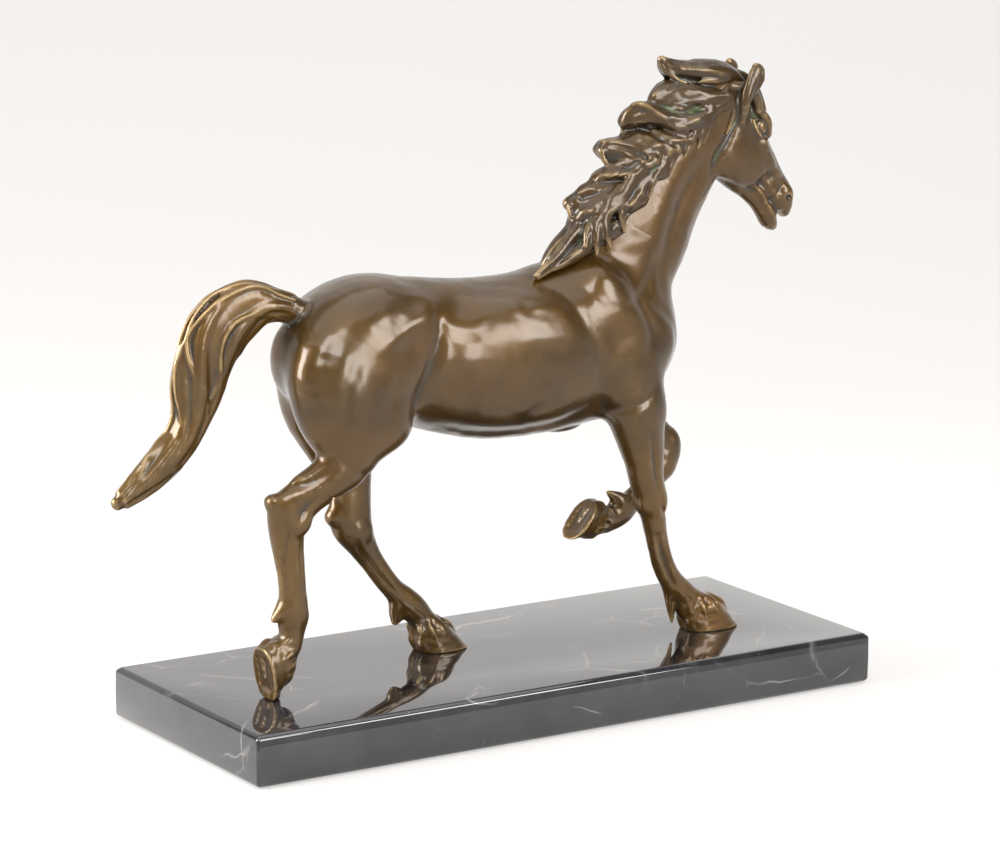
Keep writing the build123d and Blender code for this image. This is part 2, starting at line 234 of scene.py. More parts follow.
def surface(field, grid):
    """Vertices and quads of the grid's zero surface, one vertex in each cell that it crosses."""
    inside = grid < 0
    cells = np.zeros(np.array(grid.shape) - 1, dtype=np.uint8)
    corners = [(i, j, k) for i in (0, 1) for j in (0, 1) for k in (0, 1)]

    def corner(array, c):
        return array[tuple(slice(c[i], array.shape[i] - 1 + c[i]) for i in range(3))]

    for c in corners:
        cells += corner(inside, c)
    index = np.argwhere((cells > 0) & (cells < 8))
    number = np.full(cells.shape, -1, dtype=np.int32)
    number[index[:, 0], index[:, 1], index[:, 2]] = np.arange(len(index))
    sums = np.zeros((len(index), 3))
    crossings = np.zeros(len(index))
    for c in corners:
        for axis in range(3):
            if c[axis]:
                continue
            d = list(c)
            d[axis] = 1
            a = grid[tuple((index + c).T)]
            b = grid[tuple((index + d).T)]
            hit = (a < 0) != (b < 0)
            t = np.where(hit, a / np.where(hit, a - b, 1), 0)
            point = np.tile(np.array(c, dtype=float), (len(index), 1))
            point[:, axis] = t
            sums[hit] += point[hit]
            crossings[hit] += 1
    vertices = field.low + field.pitch * (index + sums / crossings[:, None])
    faces = []
    for axis in range(3):
        u, v = (axis + 1) % 3, (axis + 2) % 3
        lower = tuple(slice(None, -1) if i == axis else slice(1, -1) for i in range(3))
        upper = tuple(slice(1, None) if i == axis else slice(1, -1) for i in range(3))
        a, b = inside[lower], inside[upper]
        for flip, mask in ((False, a & ~b), (True, ~a & b)):
            at = np.argwhere(mask)
            at[:, u] += 1
            at[:, v] += 1
            quad = []
            for du, dv in ((-1, -1), (0, -1), (0, 0), (-1, 0)):
                cell = at.copy()
                cell[:, u] += du
                cell[:, v] += dv
                quad.append(number[tuple(cell.T)])
            quad = np.stack(quad[::-1] if flip else quad, axis=1)
            faces.append(quad)
    return vertices, np.concatenate(faces)


# ---------------------------------------------------------------- the horse
# A station is (x, y, z, width across, depth fore and aft), in millimetres.
BARREL = [
    (-84, 0, 141, 26, 34), (-72, 0, 140.5, 40, 51), (-58, 0, 139.5, 47, 60), (-42, 0, 139.6, 50, 55.6),
    (-25, 0, 136.3, 53, 57.8), (-8, 0, 133.7, 55.5, 60.8), (10, 0, 133.7, 56, 62), (28, 0, 136, 53, 64),
    (42, 0, 137.5, 48, 63), (55, 0, 136, 40, 56), (62, 0, 134, 28, 40)
]
HIND_RIGHT = [
    (-64, -9, 150, 24, 27), (-72, -12, 143.5, 27, 40), (-76, -14.5, 136, 28, 46),
    (-77, -16.5, 125, 26, 41), (-76.5, -19, 114.5, 20, 31), (-79.5, -20.3, 106.5, 15.5, 22),
    (-84.5, -20.3, 102, 13.5, 18), (-91, -19.5, 98, 12.5, 16.4), (-97, -18.5, 94, 12, 17),
    (-101.2, -18, 89.5, 11.5, 18), (-102.2, -17.5, 83.5, 10.8, 14.6), (-101.4, -17, 76, 9.2, 12.8),
    (-100.2, -16.5, 69, 8.6, 11.6), (-99.2, -16, 61, 8.6, 11.2), (-98.8, -15.8, 54.5, 9.2, 12),
    (-98.8, -15.6, 49.5, 9.8, 13), (-99, -15.3, 44, 8.8, 10), (-100.3, -15, 39, 10, 10)
]
HIND_LEFT = [
    (-58, 9, 150, 24, 27), (-65, 12.5, 143.5, 27, 39), (-65.5, 15, 136, 27, 44),
    (-65.5, 17, 125, 24.5, 40), (-62, 19, 113.5, 19.5, 34), (-58.2, 19.5, 103, 15.5, 27.5),
    (-55.6, 19, 94, 13, 21), (-54.8, 18, 85, 11.8, 17.5), (-55.4, 17, 78, 11.6, 17.5),
    (-55, 16.5, 72, 11, 17), (-52.3, 16, 66.5, 10, 13.4), (-49.2, 15.4, 61, 8.8, 10.6),
    (-46, 15, 56, 8.2, 9.4), (-42, 14.7, 50.3, 8, 9), (-37.5, 14.4, 45, 8.3, 9.2),
    (-33.3, 14.2, 40.7, 9.3, 11), (-29, 14, 36.5, 9.5, 11.3), (-25, 14, 32.5, 9, 9.5),
    (-22.5, 14, 29, 10, 10)
]
FORE_RIGHT = [
    (50, -10, 140, 24, 36), (47.4, -14, 130, 24, 33), (46.8, -17.5, 120, 21, 28),
    (49, -19.3, 110.5, 18, 25), (50.6, -19, 102, 15.5, 20.8), (52.8, -18.7, 93.5, 13, 17.4),
    (54, -18.3, 85.5, 11.2, 14.8), (56, -17.6, 79.5, 11.4, 13.8), (57.8, -17, 74, 11, 13.2),
    (59.2, -16.3, 68.5, 9.5, 10.8), (61, -15.7, 61, 8.2, 9.4), (63.4, -15, 53, 7.8, 9),
    (66.6, -14.3, 45.5, 8, 9.2), (71, -13.8, 39.5, 8.8, 9.8), (75.5, -13.4, 35, 9.6, 10.6),
    (80, -13.1, 31.8, 9.3, 10), (86, -13, 28.5, 10, 10)
]
FORE_LEFT = [
    (53, 10, 140, 24, 36), (56, 14, 130, 24, 32), (60, 17, 119.5, 20, 26), (64, 17.8, 110, 17, 21),
    (70, 17, 103, 14.5, 18), (76, 16, 96.8, 12.3, 15.4), (81.5, 15, 91.4, 11.5, 14.4),
    (84.6, 14.2, 86, 11.3, 14.2), (83.8, 13.3, 80.3, 10.4, 12.8), (79, 12.3, 75.8, 8.8, 10.4),
    (73.5, 11, 72, 8, 9), (68, 10, 68.8, 8, 9), (63.5, 9, 66, 8.8, 10.6), (59.5, 8.3, 64, 9.2, 11),
    (55.5, 7.8, 62.6, 8.8, 10), (52, 7.5, 62, 10, 10)
]
NECK = [
    (39, 0, 140, 34, 48), (44.3, 0, 152, 31, 47.4), (53.6, 0, 164.6, 27.5, 48),
    (61.4, 0, 175.2, 24, 46.4), (70.2, 0, 189, 19.8, 41.5), (80.2, 0, 202.3, 17.6, 38),
    (89.2, 0, 213.5, 16.5, 33), (97, 0, 221.5, 15.5, 26)
]

# Where each casting is cut: (point on the joint face, direction that leaves the torso, reach)
CUTS = {
    "foreleg_right": ((49.5, -19, 110), (0.12, 0, -0.99), 14),
    "foreleg_left": ((62.5, 18, 111), (0.5, -0.05, -0.86), 14),
    "hindleg_right": ((-91, -19.5, 98), (-0.82, 0.11, -0.56), 15),
    "hindleg_left": ((-59.5, 19.5, 103), (0.3, 0, -0.95), 17),
    "tail": ((-91, 0, 160), (-0.95, 0, 0.3), 30),
    "neck": ((59, 0, 175.5), (0.53, 0, 0.85), 40),
    "head": ((92, 0, 198), (0.97, 0, -0.22), 60),
}


def hoof(field, coronet, sole, forward, normal, width, length):
    """Hoof with a flat sole, a coronet ridge, heel bulbs and a hollowed sole with its frog.

    coronet and sole are centres; forward points to the toe along the sole; normal leaves the sole.
    """
    coronet, sole = np.array(coronet, float), np.array(sole, float)
    normal = np.array(normal, float) / np.linalg.norm(normal)
    forward = np.array(forward, float) - normal * normal.dot(forward)
    forward /= np.linalg.norm(forward)
    side = np.cross(normal, forward)
    reach = length * 1.1 + 3
    found = field.window(np.minimum(coronet, sole) - reach, np.maximum(coronet, sole) + reach)
    if found is None:
        return
    slices, x, y, z = found
    x, y, z = x - sole[0], y - sole[1], z - sole[2]
    tall = float(-(coronet - sole).dot(normal))
    slope = float((coronet - sole).dot(forward)) / tall
    high = -dot(x, y, z, normal)
    t = np.clip(high / tall, -0.2, 1.3)
    ahead = dot(x, y, z, forward) - slope * tall * t
    aside = dot(x, y, z, side)
    ridge_at = 1 + 0.03 * np.exp(-((t - 0.85) / 0.16)**2) + 0.01 * np.sin(t * 19)
    half_length = length / 2 * (1 - 0.36 * t) * ridge_at
    half_width = width / 2 * (1 - 0.22 * t) * ridge_at
    back = np.where(ahead < 0, 1.1, 1.0)
    outline = (np.abs(ahead * back / half_length)**2.4 + np.abs(aside / half_width)**2.4)**(1 / 2.4)
    wall = (outline - 1) * np.minimum(half_length, half_width)
    rounding = 1.8
    corner = np.maximum(wall + rounding, high - tall + rounding)
    both = np.sqrt(np.maximum(wall + rounding, 0)**2 + np.maximum(high - tall + rounding, 0)**2)
    solid = np.where(corner > 0, both, corner) - rounding
    own = copy(field)
    own.value = np.full(field.value.shape, FAR, dtype=f32)
    own.value[slices] = solid
    for s in (1, -1):
        bulb = sole - normal * tall * 0.45 + forward * (slope * tall * 0.45 - length * 0.3)
        bulb = bulb + side * s * width * 0.17
        ball(own, bulb, (width * 0.16, width * 0.15, width * 0.2), blend=2.6)
    # hair that hangs from the coronet over the wall
    for k in range(-5, 6):
        turn = radians(27 * k + 6 * sin(4 * k))
        out = forward * cos(turn) * length * 0.5 + side * sin(turn) * width * 0.5
        lock = []
        for share, wide, thick in ((1.14, 0.46, 1.8), (0.94, 0.74, 2.0),
                                   (0.76 + 0.07 * sin(5 * k), 0.81, 1.4),
                                   (0.58 + 0.1 * sin(3 * k), 0.83, 0.7)):
            centre = sole - normal * tall * share + forward * slope * tall * share + out * wide
            lock.append((*centre, thick, thick))
        tube(own, lock, 0.9, side=side, step=1.5)
    own.value[slices] = np.maximum(own.value[slices], -high)
    dish = [(*(sole + forward * length * share), width * 0.5, 1.0) for share in (-0.24, 0.26)]
    tube(own, dish, blend=1.0, side=side, carve=True)
    frog = [(*(sole - forward * length * 0.36), 3.6, 0.9), (*(sole + forward * length * 0.08), 0.8, 0.4)]
    tube(own, frog, blend=0.9, side=side)
    own.value[slices] = np.maximum(own.value[slices], -high)
    field.join(slices, own.value[slices], 2.2)


MUSCLE_LINES = [            # (points, width, how far raised), seen from the side, the same on both sides
    ([(-40, 158), (-42.5, 148.5), (-46, 137), (-49.5, 127), (-53.5, 119)], 2.8, -1.6),
    ([(-40, 161.5), (-45, 158.5), (-59, 151.5), (-74, 145)], 3.0, 0.8),
    ([(-52, 150), (-60, 138), (-66, 125), (-69, 112)], 4, -0.45),
    ([(-66, 149), (-79, 142), (-84, 128), (-83, 114)], 3, -0.5),
    ([(-35, 160), (-16, 159), (2, 157), (19, 155)], 3.5, 0.7),
    ([(-48, 114), (-35, 112.5), (-14, 109), (12, 110), (30, 116)], 2.6, -0.9),
    ([(14, 160), (20, 149), (26, 136), (31, 120)], 3.6, -1.2),
    ([(45, 160), (50, 149), (52, 140), (47, 132)], 3.0, -0.9),
    ([(31, 119), (35, 113), (45, 115.5), (52, 121)], 2.2, -1.2),
    ([(56, 152), (62, 147), (67, 140), (66, 129), (60, 121)], 2.6, -0.8),
    ([(88, 204), (79, 194), (72.5, 183), (67, 170), (62, 157)], 3.4, -1.1),
    ([(92, 197), (84, 186), (78, 174), (74, 160)], 2.5, 0.45),
    ([(84, 210), (74, 200), (66, 188), (60, 175), (56, 163)], 5, 0.8),
    ([(62, 168), (57, 160), (50, 154), (40, 151)], 2.6, -0.7),
    ([(-30, 147), (-33, 135), (-31, 123), (-26, 115)], 3.4, -0.55),
    ([(-12, 112), (2, 119), (16, 126), (24, 136)], 3.2, -0.4),
    ([(-84, 152), (-88, 144), (-90, 132), (-88, 118)], 2.4, -0.5),
]


def torso_and_limbs(f):
    """Trunk, neck and limbs, without hair."""
    tube(f, BARREL, 2, step=6)
    tube(f, NECK, 6, step=3)
    for line, soft in ((HIND_RIGHT, 7), (HIND_LEFT, 7), (FORE_RIGHT, 6), (FORE_LEFT, 6)):
        tube(f, line, soft, step=3)
    # masses common to both sides: croup, loin, rib cage, scapula, triceps, point of shoulder, breast
    for s in (-1, 1):
        hind = 0 if s < 0 else 11
        fore = 0 if s < 0 else 5
        ball(f, (-66 + hind * 0.4, s * 10, 153), (21, 13, 12.5), 7, turn=(-16, 0, 0))
        ball(f, (-47 + hind * 0.3, s * 13.5, 151.5), (12, 9, 9), 8)
        ball(f, (-70 + hind, s * 13.5, 133), (20.5, 15, 26), 6, turn=(8, 0, 0))
        ball(f, (-61 + hind, s * 19, 118), (9, 7.5, 9.5), 8)
        ball(f, (-5, s * 17, 135), (38, 11, 22), 8)
        ball(f, (40, s * 15.5, 146), (10, 8, 22), 7, turn=(-24, 0, 0))
        ball(f, (40 + fore, s * 18.5, 130), (14, 7.5, 11), 6, turn=(-20, 0, 0))
        ball(f, (60 + fore * 0.5, s * 13.5, 136), (8.5, 7.5, 10), 5)
        ball(f, (65.2, s * 6.5, 134), (6.2, 7.5, 11), 4)
    f.value = blurred(f.value, round(SOFTNESS**2 * 1.5 / f.pitch**2))
    uneven(f, 0.06, 14)
    uneven(f, 0.015, 6)
    ball(f, (27, 0, 104.6), (9.5, 4.2, 3), 1.5)
    for points, width, amount in MUSCLE_LINES:
        stroke(f, points, width, amount)


def head_point(along, across, up):
    """Head's own frame: along the face from the poll to the muzzle, and up towards the forehead."""
    return (101 + 0.49 * along + 0.87 * up, across, 230 - 0.87 * along + 0.49 * up)


HEAD_TURN = (60.6, 0, 0)


def on_head(f, rows, blend, side=1, **options):
    """Tube through rows of (along, across, up, width, depth), with across mirrored by side."""
    tube(f, [(*head_point(a, side * c, u), w, d) for a, c, u, w, d in rows], blend, **options)


def head(f):
    """Skull, face, jaw, lips, nostrils, eyes, ears and forelock."""
    on_head(f, [(1, 0, -5, 14.5, 19), (8, 0, -5.5, 16, 23), (16, 0, -5, 16.5, 26), (24, 0, -4, 16, 22.5),
                (31, 0, -2.4, 13, 17), (38, 0, -1, 11.3, 14.2), (44, 0, 0.1, 10.6, 11.6),
                (49, 0, 0.7, 10.6, 11.2), (53, 0, 1.0, 10.8, 10.8), (57, 0, 0.1, 9.8, 7.6),
                (59.6, 0, -0.6, 7, 4.6)], 3, step=2)
    on_head(f, [(28, 0, -16, 9.5, 12), (36, 0, -13, 8.4, 10.5), (43, 0, -10.4, 7.2, 8.6),
                (49, 0, -8.9, 6.6, 7.4), (54, 0, -8.2, 7.2, 7.2), (58.5, 0, -8, 7.2, 7),
                (61.6, 0, -7.6, 4.8, 4)], 1.6, step=2)
    on_head(f, [(34, 0, -8, 9, 10), (42, 0, -5.8, 8.8, 8), (50, 0, -4, 8.6, 6), (56, 0, -3.4, 8, 4)], 1.6)
    for s in (-1, 1):
        # cheek, its front edge, the crest of the face and the folds that run down to the mouth
        ball(f, head_point(22.5, s * 4.4, -10.6), (12.4, 4.8, 12.4), 2.4, turn=HEAD_TURN)
        ball(f, head_point(31.5, s * 4.2, -7.4), (8.8, 4.0, 9.6), 2.2, turn=HEAD_TURN)
        on_head(f, [(27, 7, 0.2, 3.4, 3), (34, 5.8, 0.2, 3.2, 3), (43, 4.6, 1.2, 2, 2)], 2.6, s)
        on_head(f, [(37, 3.6, -4.6, 3, 2.6), (46, 3.9, -3.4, 3.4, 3.2), (55, 3.5, -1.6, 3, 2.2)], 2.2, s)
        on_head(f, [(38, 3.4, -10, 3.4, 2.8), (46, 3.3, -8, 3.2, 2.6), (57, 2.8, -7, 3, 2.4)], 1.8, s)
        # brow, eyeball and lids
        on_head(f, [(14.5, 7, 4, 4.4, 3.6), (20, 7.6, 5.2, 4.8, 4), (25.5, 6.6, 4, 3.6, 3)], 2, s)
        ball(f, head_point(20.8, s * 7.7, 1.8), (3, 2, 2.3), 0.5, turn=HEAD_TURN)
        on_head(f, [(16.5, 7.8, 0, 1.3, 1.2), (20.8, 8.9, -0.9, 1.4, 1.2), (25, 7.6, 0.6, 1.1, 1)], 0.8, s)
        # nostril with its raised rim
        ball(f, head_point(52, s * 4, 1.8), (3.4, 2.4, 3), 1.6, turn=HEAD_TURN)
        ball(f, head_point(53.8, s * 6, 1.4), (1.9, 1.2, 1.0), 0.8, turn=(30, 0, 0), carve=True)
        # ear: a leaf that curls over at its tip, with a hollow that faces forward and out
        tube(f, [(103.6, s * 7.4, 216, 4.6, 4.4), (104.2, s * 8.6, 221.5, 4.6, 4.6),
                 (105.8, s * 9.2, 227, 4.4, 6), (108.6, s * 9.3, 231.4, 4, 7.6), (109.8, s * 9, 235, 3.2, 6),
                 (109.4, s * 8.8, 236.6, 2, 3)], 1.4, step=1)
        tube(f, [(106.4, s * 10.4, 222.5, 1.4, 2), (108.8, s * 11.4, 228, 2, 3),
                 (110.8, s * 11.2, 232, 1.8, 3), (111.2, s * 10.2, 235, 1, 1.4)], 0.7, step=1, carve=True)
        tube(f, [(109, s * 8.4, 236.6, 1.8, 1.8), (112, s * 8.6, 235, 1.8, 1.8),
                 (112.4, s * 8.8, 231, 1.6, 1.6)], 1, step=1)
    # mouth
    on_head(f, [(66, 0, -2.6, 14, 2), (60, 0, -3.1, 14, 1.3), (56.5, 0, -4, 11, 0.5)], 0.6, carve=True)
    stroke(f, [(90, 196), (93, 203.5), (96.5, 209), (100, 215), (102, 220)], 1.9, -1.3)
    stroke(f, [(123.6, 196.6), (118.5, 192.6), (112.5, 188), (109, 187)], 2.4, -0.7)
    stroke(f, [(125, 189), (121, 184), (118.5, 180)], 1.2, -0.5)
    stroke(f, [(105, 213.5), (108, 208), (108.5, 202)], 2.6, -0.5)
    stroke(f, [(100, 203), (101.5, 198), (105, 193)], 2.4, 0.5)
    uneven(f, 0.03, 5)
    # forelock blown forward between the ears
    tube(f, [(102, 0, 232, 9, 7), (107.5, -0.5, 231, 9, 6.5), (111.5, -1.5, 227.5, 8, 6),
             (114.2, -2.5, 221.5, 6.5, 4.5), (116.6, -3, 216, 3, 2.4)], 1)
    tube(f, [(102, -4, 229, 6, 5), (107.5, -6, 227.4, 6, 5), (110.6, -7.2, 223.5, 5, 4.6),
             (111.3, -8.2, 219.4, 3, 3)], 0.8, step=1)
    for k, low in enumerate((218.5, 215, 217)):
        tube(f, [(106, 2.4 * k - 2.4, 233.4, 2, 1.6), (111.5, 2.4 * k - 3.2, 230.2, 2.2, 1.8),
                 (115.4, 2.4 * k - 4, 223.4, 2, 1.6), (117.2, 2.4 * k - 4.6, low, 1, 1)], 1.1, step=1)


# Each clump of mane: its line with widths, and how far round it the ridges turn by its tip
MANE_CLUMPS = [
    ([(104, 0, 229.5, 13, 9), (97, 0, 233, 15, 12), (89, 0, 234.4, 15, 12), (82, 0.5, 234.8, 13, 11),
      (76, 1, 236, 10, 9.5), (72.6, 1.5, 238.4, 6, 6), (71.4, 2, 240.4, 2.5, 2.5)], 0.5),
    ([(96, -2, 224, 14, 14), (88, -2, 226.5, 15, 14), (80, -1, 227.5, 15, 13), (73, 0, 227.5, 12, 11),
      (67.5, 0, 225.5, 7, 7)], 0.9),
    ([(86, -3, 217.5, 13, 13), (77, -2.5, 220, 15, 14), (69, -1, 219.6, 15, 13), (62, 0, 219.8, 12, 11.5),
      (57, 1, 219, 9, 9), (54.6, 2, 216.6, 5, 6)], -0.7),
    ([(77, -4.5, 209.5, 11, 11), (68, -3.5, 210.5, 14, 13), (60, -2, 210, 14, 13), (53, 0, 207.8, 12, 11),
      (47, 1.5, 207.3, 9, 9), (43.8, 3, 208.4, 4, 5)], 0.9),
    ([(66, -5, 199.5, 11, 11), (57, -4, 201, 14, 13), (48, -2, 197.3, 14, 14), (40, -1, 192.4, 13, 13),
      (33, 0, 190.3, 10, 10), (28.6, 1, 189.4, 5, 6)], 0.7),
    ([(55, -6, 190, 11, 12), (46, -5, 189, 14, 14), (37, -3, 184.5, 14, 14), (29.5, -1, 177.5, 12, 11.5),
      (22.5, 0, 171, 8, 8), (16.5, 0, 164.6, 3, 3)], -0.6),
    ([(46, -6, 179, 10, 11), (38, -5.5, 177.3, 12, 11), (30, -5.5, 173.4, 11, 8), (22, -6.5, 169.5, 8, 6),
      (13, -8.5, 166.6, 4, 3), (8.4, -9.8, 164.6, 1.5, 1.5)], 0.3),
]
# Rolled edges of the clumps, with their thickness
MANE_RIMS = [
    ([(104, -3, 231), (97, -4.5, 231.3), (89, -5.5, 231.4), (81, -5.5, 231.8), (76, -3.5, 233.3),
      (72.4, -1, 236.5), (71.2, 1, 240.6)], 2.6),
    ([(101, -1, 232.6), (92, -2.5, 236.6), (84, -2.5, 237), (77, -1, 239), (72, 0, 241)], 2.2),
    ([(87, -6.5, 221), (78, -7.3, 218.2), (71, -7, 219.6), (65, -5, 223), (60, -3, 224), (56.4, -1, 222),
      (54.8, 0, 217.5), (55, 1, 214)], 3),
    ([(67, -6, 207), (59, -4, 209.6), (52, -2, 210), (45.6, 0, 209.8), (43.9, -1, 206.6), (45.6, -3, 202.6),
      (50, -5, 200.8), (57, -6.5, 200.2), (63, -7.5, 202)], 2.4),
    ([(54, -7.5, 193.5), (45, -6, 195.4), (36.5, -4, 193.6), (29.2, -2, 192), (27.9, -2, 188),
      (29.4, -3, 183.6)], 2.4),
    ([(46, -8.5, 181), (38, -8, 181.5), (31, -6, 179.4), (26, -4.5, 174.6), (22, -4.5, 170)], 2.2),
]
# Locks that fall from the clumps towards the back of the neck
FALLING_LOCKS = [
    [(89, -5, 226, 6, 7), (87, -7.3, 220.5, 4.4, 6.5), (85, -8.6, 213.5, 3, 4.4), (82.6, -9, 207, 1, 1.2)],
    [(57, -7.5, 199.5, 5, 7), (51, -9.5, 196, 3.6, 5.6), (47.2, -10.9, 190, 2.8, 4.6),
     (46.2, -11.9, 184, 2.2, 3.2), (46.9, -12.4, 178.5, 1, 1.2)],
    [(48, -8.5, 193, 5, 7), (42.4, -10, 189, 3.6, 5.4), (39.4, -11.4, 183.5, 2.8, 4.2),
     (39, -12.5, 178, 2.2, 3), (40.4, -13, 172.8, 1, 1.2)],
    [(40, -9, 186, 5, 6), (36.4, -10.6, 181.5, 3.4, 4.6), (34.6, -12.2, 176, 2.6, 3.2),
     (34.2, -13, 170.8, 1, 1.2)],
    [(35, -8, 182, 5, 5), (32, -10, 178, 3.4, 4), (30, -11.4, 174.6, 1.6, 1.8)],
    [(31, -5, 180, 5, 6), (25.5, -6.8, 176, 4, 4.6), (19, -8.8, 171, 3, 3.4), (13, -9.8, 167.5, 2, 2.4),
     (8.6, -10.2, 165, 1, 1)],
]
# Hair that lies on the neck under the clumps
MANE_ROOTS = [
    (97, -7, 225.5, 4, 7), (88, -7.4, 221, 4.5, 8), (79, -7.8, 214.5, 4.5, 8), (71, -8.2, 208, 4.5, 8),
    (61.5, -8.6, 201, 4.5, 8), (53, -9, 194.5, 4.5, 8), (45, -9.2, 186.5, 4.5, 7.5),
    (38.5, -9.2, 179, 4, 6), (33, -8.6, 175, 3, 4)
]
# Deep folds between the clumps and raised edges along them, drawn from the side
MANE_FOLDS = [
    [(104, 230.3), (92.4, 229.3), (80.7, 232.2), (72, 234)],
    [(95.4, 224.9), (83.8, 222.1), (75.1, 220.7), (68.6, 223.1), (62.8, 225.9, 0.4)],
    [(89.7, 217.5), (81, 213.3), (72.4, 212.8), (65.1, 216.2, 0.6), (60, 220, 0.2)],
    [(86, 210.6), (78.2, 208.2), (68.1, 210.7), (60.9, 214.8), (53, 215.3)],
    [(66.7, 209.6), (65.4, 203.7), (60.4, 200.6), (51.1, 201, 0.7), (43.3, 203, 0.3)],
    [(64, 199.7), (54, 197.6), (45.5, 196.6), (37, 195.8)],
    [(54, 195.5), (48.4, 190.8), (42.8, 184.1), (35.1, 181.2)],
    [(37, 193.6), (28.6, 191.2), (25.9, 185.5)],
    [(40, 182.6), (31.6, 181.5), (23.2, 176.3), (17.7, 170.8)],
]
MANE_EDGES = [
    [(39.7, 211.1), (46, 211.8), (52.4, 210.2), (60.3, 206), (65.4, 200.9)],
    [(50.1, 222.1), (52.9, 225.5), (59.3, 225.1), (65.8, 220.5), (71.6, 215.9), (78.8, 217), (87.4, 222)],
    [(41.8, 208.2), (50.3, 207.6), (58.9, 202.8)],
    [(99, 233.5), (90, 235.6), (80, 237.4), (73, 238)],
    [(37.7, 198.9), (46.2, 199.6), (54.7, 200.4), (63.3, 202.7)],
    [(60, 197), (52, 190), (44, 187.5), (33, 186.6), (28, 189)],
    [(56, 190), (50, 183), (40, 178.5), (30, 174), (20, 168.6)],
]
# Locks that leave the clumps and lie on the neck
NECK_LOCKS = [
    [(97, -6.5, 228, 3, 4), (99.5, -7.6, 222, 3, 3.6), (98.6, -8, 216, 2.4, 2.6),
     (96.4, -8.2, 211.4, 1, 1)],
    [(91, -6.5, 226, 3, 4), (88.6, -8, 220.5, 3, 4), (87.2, -8.8, 215, 2.4, 2.8), (85.4, -9, 209, 1, 1)],
    [(85, -7, 219, 3, 4), (81.6, -8.6, 213.6, 2.8, 3.4), (78.4, -9, 208, 2, 2.2), (76, -9.2, 204, 1, 1)],
    [(77, -7.4, 213, 3, 4), (73.4, -8.8, 207.4, 2.8, 3.2), (70.4, -9.6, 202, 2, 2),
     (69, -9.8, 198.4, 1, 1)],
    [(68, -7.6, 206, 3, 4), (64.6, -9.2, 200.6, 2.8, 3.4), (61, -10.2, 195, 2.2, 2.4),
     (59.6, -10.6, 190.4, 1, 1)],
]


def across_line(line):
    """For each row of a line, the direction across it in the horse's side view."""
    runs = np.gradient(line[:, :3], axis=0)
    runs /= np.linalg.norm(runs, axis=1)[:, None]
    return np.cross(runs, (0, 1, 0))


def ridge(f, stations, start, twist, out, thick, blend=0.9, carve=False, first=0.0, last=1.0):
    """Raised or carved line along the skin of a tube; start and twist are angles round its section."""
    line = spline(stations, 1.5)
    inward = across_line(line)
    inward /= np.linalg.norm(inward, axis=1)[:, None]
    strand = []
    for i in range(len(line)):
        t = i / (len(line) - 1)
        if not first <= t <= last:
            continue
        turn = start + twist * t
        wide, deep = line[i, 3] / 2, line[i, 4] / 2
        centre = line[i, :3] + inward[i] * deep * out * cos(turn) + np.array([0, wide * out * sin(turn), 0])
        size = max(0.7, thick * (wide + deep) * sin(pi * min(max(0.12 + 0.86 * t, 0), 0.97))**0.6)
        strand.append((*centre, size, size))
    if len(strand) > 2:
        tube(f, strand, blend, step=9, carve=carve)


def mane(f):
    """Wind-blown clumps with smooth ridges and grooves along them, and locks that fall on the neck."""
    clumps = [([(x + 1.4, y, z - 0.3, 0.93 * w, 0.93 * d) for x, y, z, w, d in line], twist)
              for line, twist in MANE_CLUMPS]
    for line, _ in clumps:
        tube(f, line, 2.4, step=1.5)
    tube(f, MANE_ROOTS, 3, step=3)
    tube(f, [(73, -1, 215.5, 10, 10), (64, 0, 217.5, 9, 9), (57.6, 1, 218, 6, 6)], 2.4, step=1.5)
    f.value = blurred(f.value, round(0.6 / f.pitch**2))
    for number, (line, twist) in enumerate(clumps):
        for k in range(5):
            start = 2 * pi * (k + 0.4 * sin(2.3 * k + number)) / 5 + 0.5 * number
            ridge(f, line, start, twist, 0.86, 0.24 + 0.07 * sin(1.7 * k + number), 1.5)
            ridge(f, line, start + 0.6, twist, 1.06, 0.1, 0.8, True, 0.08, 0.9)
    for line, thick in MANE_RIMS:
        taper = [thick * (1.1 - 0.5 * (i / (len(line) - 1))**2) for i in range(len(line))]
        tube(f, [(*point, size, size) for point, size in zip(line, taper)], 1.8, step=1.2)
    for line in MANE_FOLDS:
        stroke(f, line, 1.7, -1.3, step=0.6)
    for line in MANE_EDGES:
        stroke(f, line, 1.5, 0.8, step=0.6)
    for line in FALLING_LOCKS + NECK_LOCKS:
        tube(f, line, 1.2, step=1.2)
    uneven(f, 0.05, 8)


TAIL = [
    (-84, 0, 156, 11, 12), (-90, 0, 159.8, 9.5, 10.5), (-97.5, 0, 162.2, 9.5, 12),
    (-107.5, 0, 162.6, 10.5, 20.5), (-117, 0, 158, 12, 25.5), (-122.9, 0, 151.3, 12, 25.5),
    (-126.8, 0, 142.7, 11.5, 23.4), (-129.4, 0, 133.3, 11, 20.4), (-131.5, 0, 125.5, 10, 16),
    (-134.8, 0, 118.3, 9.5, 13.8), (-139.5, 0, 112.8, 9, 14), (-147, 0, 106, 8, 13.4),
    (-154.5, 0, 100.5, 6.5, 10), (-161.5, 0, 96.3, 5, 6)
]


